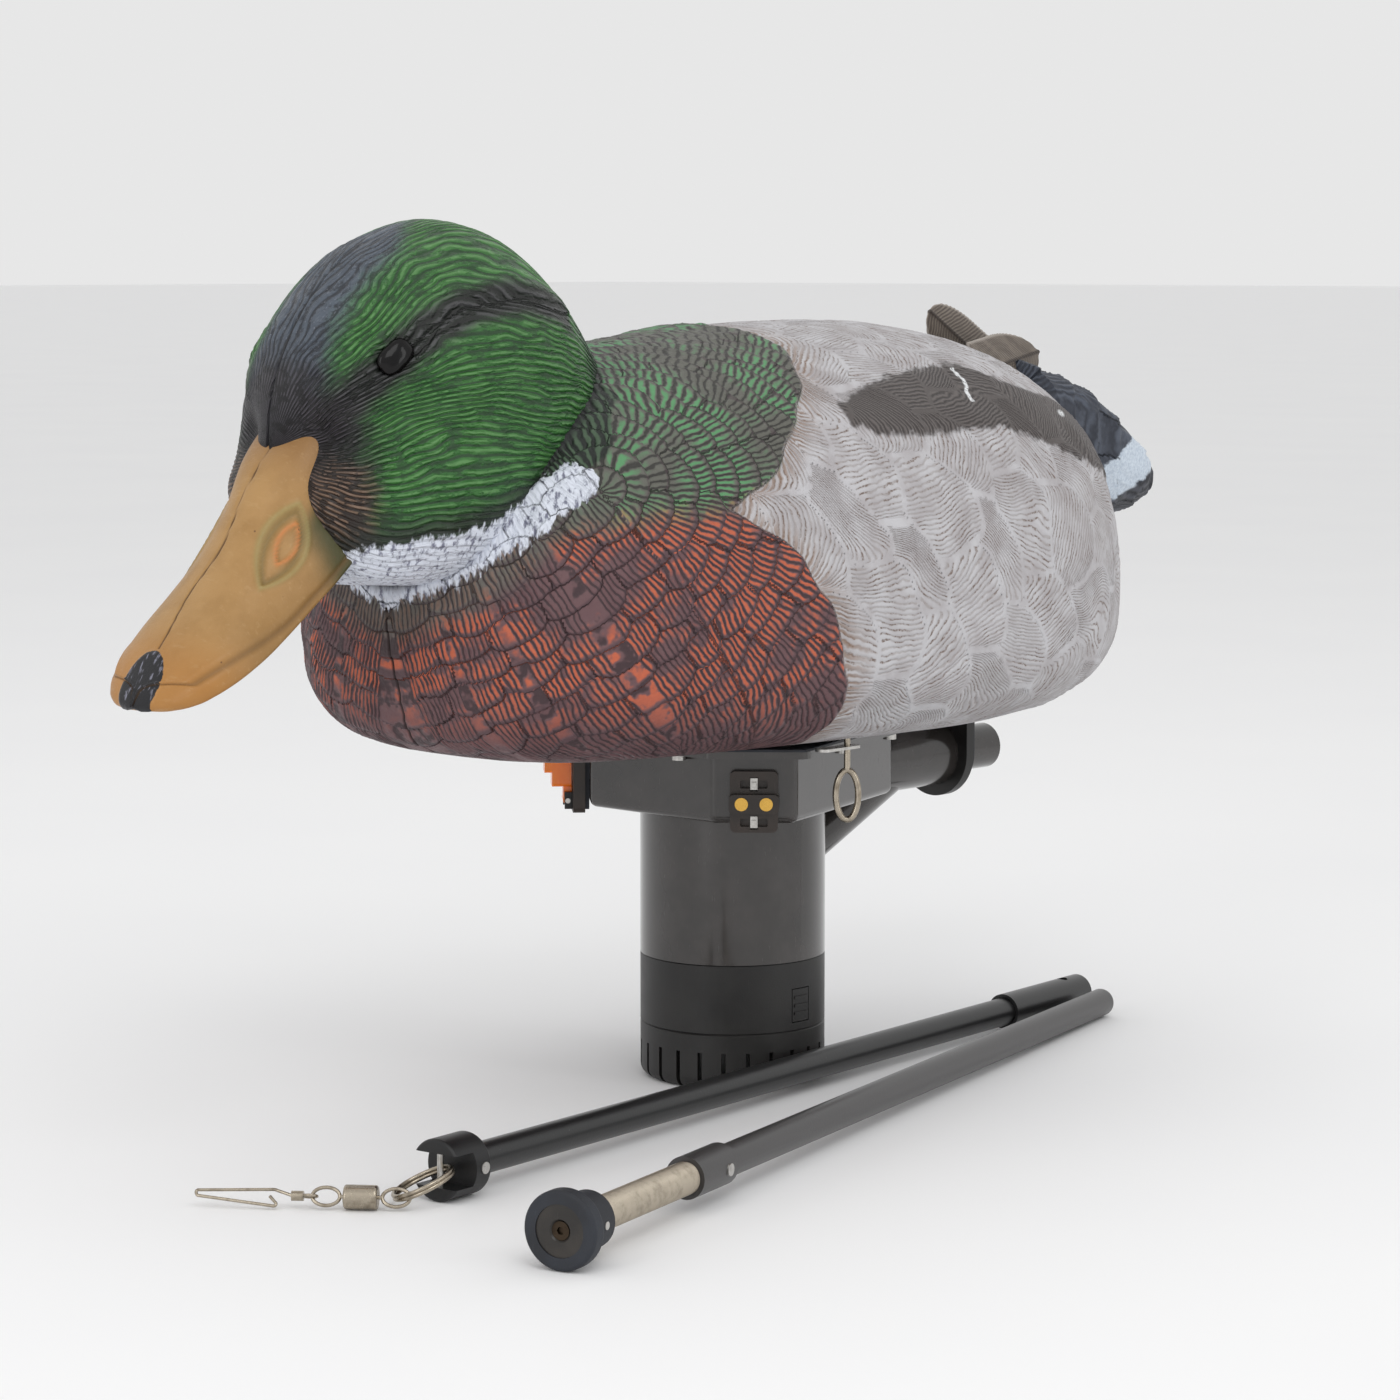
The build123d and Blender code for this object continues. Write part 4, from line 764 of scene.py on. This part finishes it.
# ---- Head, bill and eyes ----
def make_head():
    points, turn = duck_skin(HEAD_SECTIONS)
    side = mirrored(points)
    normal = normals_of(points)
    x, y, z = side[..., 0], side[..., 1], side[..., 2]

    gap, place, away = to_line(side, EYE_LINE)
    eye = np.linalg.norm((side - EYE) * (1, 1.0, 1.25), axis=-1)
    half_turn = np.abs(((turn + np.pi / 2) % (2 * np.pi)) - np.pi)[None] + 0 * x
    hair = half_turn * 54 + 5.0 * noise(side * (1, 0.6, 1), 24, 1) + 1.5 * noise(side * (1, 0.7, 1), 7, 2)
    hair = hair + 2.5 * bell(gap, 13) * np.sign(away[..., 2] + 1e-6)
    wave = waves(hair, HAIR_PITCH)
    gaps = soft_step(-0.75, 0.1, noise(side * (1, 0.35, 1), 4.5, 7))
    ridge = np.clip(0.5 + 0.5 * wave * gaps + 0.18 * noise(points, 2.5, 3), 0, 1)
    muzzle = soft_step(-259, -246, y)
    seam_line = x + np.where(y > -212, 9, 0)

    height = 0.42 * (ridge - 0.5) * muzzle
    height -= 2.4 * bell(gap, 3.4) * soft_step(0, 22, place) * soft_step(150, 95, place)
    height += 1.3 * bell(gap - 7, 5) * (away[..., 2] > 0) * soft_step(10, 40, place)
    height -= 2.0 * bell(eye, 9.5)
    height += 1.2 * bell(eye - 11, 2.6)
    for middle, spread, lift in HEAD_LUMPS:
        height += lift * bell(np.linalg.norm(side - middle, axis=-1), spread)
    height -= 0.8 * soft_step(0.9, 0.1, seam_line)
    height += 0.6 * noise(points, 18, 5)
    points = points + normal * height[..., None]

    crown = 21 - x - 24 * soft_step(-214, -176, y) + 5 * soft_step(-240, -256, y)
    face = -(y + 243) - 0.35 * np.abs(z - 280) * (z > 290) + 3
    cheek_mark = 13 - np.linalg.norm((side - (28, -248, 254)) * (0.7, 1.0, 0.62), axis=-1)
    nape = y + 128
    gap_low = z - np.interp(y, COLLAR_EDGE_Y, COLLAR_EDGE_Z)
    values = {"hair": hair, "muzzle": muzzle, "crown": crown, "face": face,
              "cheek": cheek_mark, "eyeline": gap, "low": gap_low, "nape": nape, "seam": seam_line}
    return closed_grid("duck_head", points, head_paint(), values)


def make_bill():
    table = np.array(BILL_SECTIONS, float)
    end = table[-1, 0]
    axis = BILL_TIP - BILL_ROOT
    length = np.linalg.norm(axis)
    axis /= length
    up = np.cross((1.0, 0, 0), axis)
    up *= np.sign(up[2])
    rows, columns = int(length * 1.6 / GRID), int(170 / GRID)
    s = end * np.sin(np.linspace(0.0, np.pi / 2, rows))
    turn, cosine, sine = circle(columns)
    half_w, low, high = [curve_through(table[:, 0], table[:, i], s)[:, None] for i in (1, 2, 3)]
    belly = 3.0 * np.sqrt(np.clip((end + 0.002 - s) / 0.1, 0, 1))[:, None]
    reach = np.where(sine > 0, high - low, belly)
    power = 2.1 + 0.2 * soft_step(0.5, 0.8, s)[:, None] + 1.4 * soft_step(0.32, 0.0, s)[:, None]
    radius = rounded(cosine, sine, half_w, reach, power)
    x, rise = radius * cosine, low + radius * sine
    points = BILL_ROOT + axis * (s * length)[:, None, None] + x[..., None] * np.array([1.0, 0, 0])
    points = points + rise[..., None] * up
    normal = normals_of(points)

    along = s[:, None] + 0 * turn[None]
    top = sine > 0
    steep = np.abs(turn - np.pi / 2)[None] + 0 * x
    level = np.pi / 2 - np.minimum(steep, np.pi / 2)
    arc = (np.pi / 2 - level) * 30
    lens_v, lens_u = (along - NOSTRIL_AT) * length, arc - NOSTRIL_ARC - 0.24 * (along - NOSTRIL_AT) * length
    outer = np.abs(lens_u) / 8.2 + (lens_v / 19.0) ** 2
    inner = np.abs(lens_u - 0.8) / 3.4 + ((lens_v + 2.5) / 9.5) ** 2
    rim = bell(outer - 1.0, 0.14) * top
    moat = bell(outer - 0.72, 0.16) * top
    pit_rim = bell(inner - 1.0, 0.22) * top
    pit = soft_step(0.9, 0.5, inner) * top
    lip_line = 0.10 + 0.20 * soft_step(0.55, 0.98, along) + 1.0 * soft_step(0.955, 1.03, along)
    lip = bell(level - lip_line, 0.045) * top * soft_step(0.16, 0.3, along)
    seam = np.abs(x - 0.9 * np.sin(along * 17)) + np.where(top & (along < 0.87), 0, 9)
    nail = soft_step(1.12, 0.88, np.hypot(x / 10.5, (along - 1.0) * length / 14.0)) * top
    # where painted shade falls on the sides of the bill's root
    shade = soft_step(17, 26, arc) * soft_step(0.33, 0.10, along - 0.0035 * arc)
    height = 1.0 * rim - 0.9 * moat + 0.8 * pit_rim - 0.9 * pit - 0.8 * lip
    height += 0.5 * bell(level - lip_line - 0.12, 0.06) * top * soft_step(0.3, 0.6, along)
    height += 0.7 * nail - 0.8 * soft_step(0.8, 0.1, seam) * (1 - nail) + 0.3 * noise(points, 20, 4)
    points = points + normal * height[..., None]
    values = {"along": along, "ring": rim, "moat": moat, "pit": pit_rim, "lip": lip, "seam": seam,
              "nail": nail, "shade": shade, "level": level}
    return closed_grid("bill", points, bill_paint(), values)


def make_eye(name, way):
    """A glossy almond-shaped eye; the raised lid around it is carved in the head."""
    rings, spokes = 22, 72
    out = np.linspace(0.02, 1, rings)[:, None]
    turn, cosine, sine = circle(spokes)
    turn = turn[None]
    centre = EYE * (way, 1, 1) + np.array([way * -1.2, 0.6, 0])
    outward = np.array([way * 0.93, -0.33, 0.16])
    outward /= np.linalg.norm(outward)
    long_way = np.array([way * 0.22, 0.72, 0.66])
    long_way -= outward * (long_way @ outward)
    long_way /= np.linalg.norm(long_way)
    short_way = np.cross(outward, long_way)
    reach = 1 - 0.12 * np.cos(2 * turn) ** 2
    a = EYE_HALF_LENGTH * out * cosine * reach
    b = EYE_HALF_HEIGHT * out * sine * reach
    dome = EYE_DOME * np.sqrt(np.maximum(1 - (out * 0.98) ** 2, 0)) + 0 * turn
    back = EYE_BACK * np.ones_like(dome[:1])
    front = centre + a[..., None] * long_way + b[..., None] * short_way + dome[..., None] * outward
    rear = centre + a[-1:, :, None] * long_way + b[-1:, :, None] * short_way + back[..., None] * outward
    points = np.concatenate([front, rear])
    values = {"out": np.concatenate([out + 0 * turn, np.ones((1, spokes))])}
    return closed_grid(name, points, eye_gloss(), values)


# ---- Tail and wing tips ----
def beyond(points, start, stop):
    """How far below a line each point lies, seen from the side; the line is given by its y and z ends."""
    way = np.subtract(stop, start) / np.hypot(*np.subtract(stop, start))
    return way[1] * (points[..., 1] - start[0]) - way[0] * (points[..., 2] - start[1])


def make_tail():
    table = np.array(TAIL_SECTIONS, float)
    rows, columns = int(105 / GRID), int(240 / GRID)
    ends = np.vstack([table[:-1], [258, 21, 250, 3.5], [260.5, 3, 249.5, 0.8]])
    y = np.linspace(ends[0, 0], ends[-1, 0], rows)
    half_w, z_mid, half_t = [curve_through(ends[:, 0], ends[:, i], y)[:, None] for i in (1, 2, 3)]
    belly = np.interp(y, TAIL_BELLY_Y, TAIL_BELLY_REACH)[:, None]
    _, cosine, sine = circle(columns)
    radius = rounded(cosine, sine, half_w, np.where(sine > 0, half_t, belly), TAIL_CURVE)
    points = np.stack([radius * cosine, y[:, None] + 0 * cosine, z_mid + radius * sine], -1)
    normal = normals_of(points)
    x = np.abs(points[..., 0])
    ahead, barb = feathers(points[..., 1] - 150 + 0.5 * x, lambda row: x + 30, 17.0, 15.0, 9.0, 0.3)
    height = 2.0 * np.exp(-ahead / 6) - 0.6 * bell(ahead - 0.5, 0.8)
    height += 0.25 * waves(barb, 2.4) + 0.3 * noise(points, 9, 2)
    after_slate = beyond(points, *BAND_UPPER_LINE)
    before_dark = -beyond(points, *BAND_LOWER_LINE)
    points = points + normal * (height * soft_step(260, 254, points[..., 1]))[..., None]
    band = np.minimum(np.minimum(after_slate, before_dark), x - 12)
    values = {"vane": barb, "band": band, "under": -before_dark}
    return closed_grid("tail", points, tail_paint(), values)


def make_wing_tip(name, root, tip, wide, half_w, curl):
    """One raised flight feather: a cupped blade on its edge, with a shaft down its middle."""
    root, tip, wide = np.array(root, float), np.array(tip, float), np.array(wide, float)
    length = np.linalg.norm(tip - root)
    rows, columns = int(length / GRID * 1.2), int(4.4 * half_w / GRID)
    part = np.sin(np.linspace(0.0, np.pi / 2, rows))
    width = half_w * np.sqrt(np.maximum(1 - (np.maximum(part - 0.45, 0) / 0.552) ** 2, 0.003))
    thick = 2.2 * (1 - part) + 0.7
    _, cosine, sine = circle(columns)
    a, b = width[:, None] * cosine, thick[:, None] * sine
    b = b - curl * (a / half_w) ** 2 * part[:, None]
    axis = (tip - root) / length
    wide -= axis * (wide @ axis)
    wide /= np.linalg.norm(wide)
    face = np.cross(axis, wide)
    face *= np.sign(face[0])
    points = root + axis * (part * length)[:, None, None] + a[..., None] * wide + b[..., None] * face
    normal = normals_of(points)
    shaft = np.abs(a)
    lines = (part * length)[:, None] + 0.75 * shaft
    height = 0.18 * waves(lines, 2.2) + 0.7 * bell(shaft, 1.0) * (sine > 0)
    points = points + normal * height[..., None]
    values = {"barb": lines, "edge": shaft / width[:, None], "shaft": shaft}
    return closed_grid(name, points, wing_paint(), values)


def make_rump():
    """The lumpy black feather tuft between the wing tips and the tail."""
    rows, columns = int(95 / GRID), int(170 / GRID)
    s = np.linspace(0.01, 0.99, rows)[:, None]
    turn, cosine, sine = circle(columns)
    swell = np.sqrt(np.maximum(1 - (2 * s - 1) ** 2, 0))
    points = np.stack([29 * swell * cosine, 164 + 52 * s + 0 * turn, 286 - 6 * s + 19 * swell * sine], -1)
    normal = normals_of(points)
    ahead, barb = feathers(points[..., 1] - 150, lambda row: points[..., 0] + 40, 13.0, 12.0, 8.0, 0.3)
    height = 1.8 * np.exp(-ahead / 4) - 0.8 * bell(ahead - 0.5, 0.9)
    height += 0.25 * waves(barb, 2.3) + 0.8 * noise(points, 10, 1)
    return closed_grid("rump_feathers", points + normal * height[..., None], rump_paint())


# ---- Spring ----
def make_spring(material):
    """The close-wound joint spring of the magnet pole, wound along its CAD tube."""
    start, stop = node_end("pole_b_spring", 1), node_end("pole_b_spring", -1)
    axis = stop - start
    length = np.linalg.norm(axis)
    axis /= length
    across = np.cross(axis, (0, 0, 1.0))
    across /= np.linalg.norm(across)
    over = np.cross(across, axis)
    turns = int(length / SPRING_PITCH)
    per_turn, spokes = 40, 8
    t = np.linspace(0, turns, turns * per_turn)
    angle = 2 * np.pi * t
    out = np.cos(angle)[:, None] * across + np.sin(angle)[:, None] * over
    line = start + axis * (SPRING_WIRE + t * (length - 2 * SPRING_WIRE) / turns)[:, None]
    _, cosine, sine = circle(spokes)
    rings = line[:, None] + out[:, None] * (SPRING_RADIUS + SPRING_WIRE * cosine)[..., None]
    rings = rings + axis * (SPRING_WIRE * sine)[..., None]
    return closed_grid("joint_spring_coil", rings, material)


def node_end(name, way):
    """The middle of a round node's end that faces -Y, or +Y where way is below 0, in millimetres."""
    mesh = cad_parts[name].data
    points = np.array([v.co for v in mesh.vertices], float) / MM
    middle = points.mean(0)
    axis = np.linalg.svd(points - middle, full_matrices=False)[2][0]
    axis *= -way * np.sign(axis[1])
    along = (points - middle) @ axis
    end = points[along > along.max() - 0.4]
    return (end.min(0) + end.max(0)) / 2


# ---- Finishes of the CAD nodes ----
def moulded(name, colour, dark, roughness, grain_mm, depth_mm, coat, scuff):
    """Injection-moulded plastic or rubber: fine grain, uneven tone and gloss, and faint scuffs."""
    f = Finish(name, coat_weight=coat, coat_roughness=0.12, specular_ior_level=0.45)
    grain = f.noise(grain_mm, 3)
    cloud = f.noise(22, 3)
    scratches = f.noise(1.2, 4, 0.65, stretch=(0.6, 0.6, 6))
    body = f.mix(f.step(cloud, 0.3, 0.7), dark, colour)
    lighter = tuple(min(255, c + 46) for c in colour)
    body = f.mix(f.step(scratches, 0.62, 0.74, 0.0, scuff), body, lighter)
    gloss = f.scaled(f.step(cloud, 0.25, 0.75), 0.10, roughness - 0.05)
    gloss = f.scaled(f.step(scratches, 0.58, 0.75), 0.12, gloss)
    return f.done(body, gloss, f.bump(grain, depth_mm))


def metal(name, colour, dark, roughness, tarnish):
    """Bare or plated metal: a fine grain, uneven shine and darker tarnish in patches."""
    f = Finish(name, metallic=1.0)
    lines = f.noise(0.5, 4, 0.6)
    cloud = f.noise(5, 4, 0.6)
    body = f.mix(f.step(cloud, 0.45, 0.75, 0.0, tarnish), colour, dark)
    gloss = f.scaled(f.step(cloud, 0.3, 0.7), 0.12, roughness - 0.04)
    gloss = f.scaled(lines, 0.08, gloss)
    return f.done(body, gloss, f.bump(lines, 0.03))


def painted_tube(name, colour, dark, roughness):
    """Powder-coated tube with orange-peel texture and worn specks."""
    f = Finish(name, coat_weight=0.25, coat_roughness=0.3, specular_ior_level=0.5)
    peel = f.noise(0.9, 2)
    cloud = f.noise(35, 3)
    specks = f.step(f.cells(4.0), 0.07, 0.04)
    body = f.mix(cloud, dark, colour)
    body = f.mix(f.times(specks, f.step(cloud, 0.45, 0.6)), body, tuple(c + 60 for c in colour))
    gloss = f.scaled(cloud, 0.12, roughness - 0.06)
    return f.done(body, gloss, f.bump(peel, 0.06))


# For each material slot: how it is made, and what that function is given after the name
FINISHES = {
    "housing_plastic": (moulded, (58, 54, 52), (44, 41, 39), 0.20, 1.1, 0.02, 0.5, 0.10),
    "pump_plastic": (moulded, (34, 33, 32), (24, 23, 23), 0.42, 0.7, 0.04, 0.0, 0.15),
    "port_plastic": (moulded, (56, 46, 40), (40, 34, 30), 0.38, 0.6, 0.05, 0.0, 0.25),
    "orange_plastic": (moulded, (255, 136, 16), (246, 112, 6), 0.24, 0.9, 0.02, 0.4, 0.15),
    "black_plastic": (moulded, (30, 30, 31), (20, 20, 21), 0.42, 0.5, 0.05, 0.0, 0.25),
    "black_rubber": (moulded, (40, 44, 52), (28, 30, 36), 0.60, 0.5, 0.08, 0.0, 0.25),
    "magnet_dark": (moulded, (52, 47, 42), (34, 31, 28), 0.36, 0.8, 0.04, 0.0, 0.25),
    "cell_wrap": (moulded, (38, 92, 138), (28, 74, 116), 0.35, 1.0, 0.02, 0.0, 0.25),
    "board_green": (moulded, (32, 92, 56), (22, 70, 42), 0.45, 0.6, 0.03, 0.0, 0.25),
    "steel": (metal, (196, 194, 190), (120, 116, 110), 0.26, 0.4),
    "nickel": (metal, (172, 162, 146), (84, 72, 58), 0.22, 0.6),
    "spring_steel": (metal, (186, 176, 160), (110, 100, 88), 0.30, 0.4),
    "magnet_core": (metal, (66, 56, 46), (30, 26, 22), 0.36, 0.4),
    "brass": (metal, (214, 170, 84), (150, 108, 46), 0.24, 0.4),
    "iron": (metal, (120, 116, 112), (70, 66, 62), 0.45, 0.4),
    "bronze": (metal, (176, 124, 76), (110, 74, 44), 0.40, 0.4),
    "pole_black": (painted_tube, (26, 26, 27), (18, 18, 19), 0.34),
    "pole_grey": (painted_tube, (58, 56, 56), (46, 44, 44), 0.36),
}


def finish_cad_nodes():
    """Gives every CAD node its material slot's finish, and the magnet's screw a darker one."""
    made = {}
    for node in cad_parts.values():
        for holder in node.material_slots:
            slot = holder.material.name.split(".")[0]
            if node.name.startswith("magnet_screw"):
                slot = "magnet_core"
            if slot in FINISHES and slot not in made:
                make_finish, *settings = FINISHES[slot]
                made[slot] = make_finish("finish_" + slot, *settings)
            if slot in made:
                holder.material = made[slot]
    return made


# ---- Stage ----
def add_camera():
    camera = bpy.data.objects.new("photo_camera", bpy.data.cameras.new("photo_camera"))
    bpy.context.scene.collection.objects.link(camera)
    a = CAMERA_AZIMUTH
    camera.location = (math.sin(a) * CAMERA_DISTANCE, -math.cos(a) * CAMERA_DISTANCE, CAMERA_HEIGHT)
    level = Matrix.Rotation(CAMERA_TURN, 3, "Z") @ Vector((-math.sin(a), math.cos(a), 0))
    way = level * math.cos(CAMERA_PITCH) - Vector((0, 0, math.sin(CAMERA_PITCH)))
    camera.rotation_mode = "QUATERNION"
    camera.rotation_quaternion = way.to_track_quat("-Z", "Y")
    camera.data.lens, camera.data.sensor_width = CAMERA_LENS, 36.0
    camera.data.clip_end = 100
    bpy.context.scene.camera = camera


def add_light(name, place, size, power, target=(0, -0.05, 0.2)):
    data = bpy.data.lights.new(name, "AREA")
    data.shape, data.size, data.size_y, data.energy = "RECTANGLE", size[0], size[1], power
    light = bpy.data.objects.new(name, data)
    bpy.context.scene.collection.objects.link(light)
    light.location = place
    light.rotation_mode = "QUATERNION"
    light.rotation_quaternion = (Vector(target) - Vector(place)).to_track_quat("-Z", "Y")


def add_stage():
    f = Finish("studio_floor", specular_ior_level=0.2)
    tone = f.noise(300, 2)
    f.done(f.mix(tone, (241, 241, 242), (245, 245, 245)), 0.75)
    half = 40000.0          # millimetres, so that the floor's edge stays out of every view
    corners = [(-half, -half, 0), (half, -half, 0), (half, half, 0), (-half, half, 0)]
    floor = link_mesh("studio_floor_sheet", corners, np.array([[0, 1, 2, 3]]), f.material)
    world = bpy.data.worlds.new("studio")
    bpy.context.scene.world = world
    world.use_nodes = True
    background = world.node_tree.nodes["Background"]
    background.inputs["Color"].default_value = (1, 1, 1, 1)
    background.inputs["Strength"].default_value = 0.80
    add_light("key_softbox", (1.5, -1.0, 1.9), (1.0, 1.4), 10)
    add_light("front_strip", (0.35, -2.0, 0.75), (0.35, 1.6), 6)
    add_light("right_strip", (2.1, 0.5, 0.8), (0.4, 1.6), 5)
    add_light("top_softbox", (-0.6, 0.3, 2.2), (1.6, 1.6), 4)
    bpy.context.scene.view_settings.view_transform = "Standard"


# ---- Assembly ----
def main():
    finishes = finish_cad_nodes()
    add_camera()
    add_stage()
    body = make_body()
    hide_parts("body_shell")
    head = make_head()
    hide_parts("head_shell")
    bill = make_bill()
    eyes = [make_eye("eye_left", 1), make_eye("eye_right", -1)]
    tail = make_tail()
    tips = [make_wing_tip("wing_tip_left", (22, 138, 301), (12, 192, 309), (-0.35, 0, 0.9), 14.5, 4.0),
            make_wing_tip("wing_tip_right", (-14, 190, 300), (-15, 147, 328), (0.1, 0.7, 0.7), 12.5, 3.5)]
    rump = make_rump()
    for piece in (body, head, bill, tail, rump, *eyes, *tips):
        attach(piece, "duck")
    spring = make_spring(finishes["spring_steel"])
    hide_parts("pole_b_spring")
    start, stop = Vector(node_end("pole_b_spring", 1)) * MM, Vector(node_end("pole_b_spring", -1)) * MM
    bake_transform(spring)


main()
bpy.context.view_layer.update()
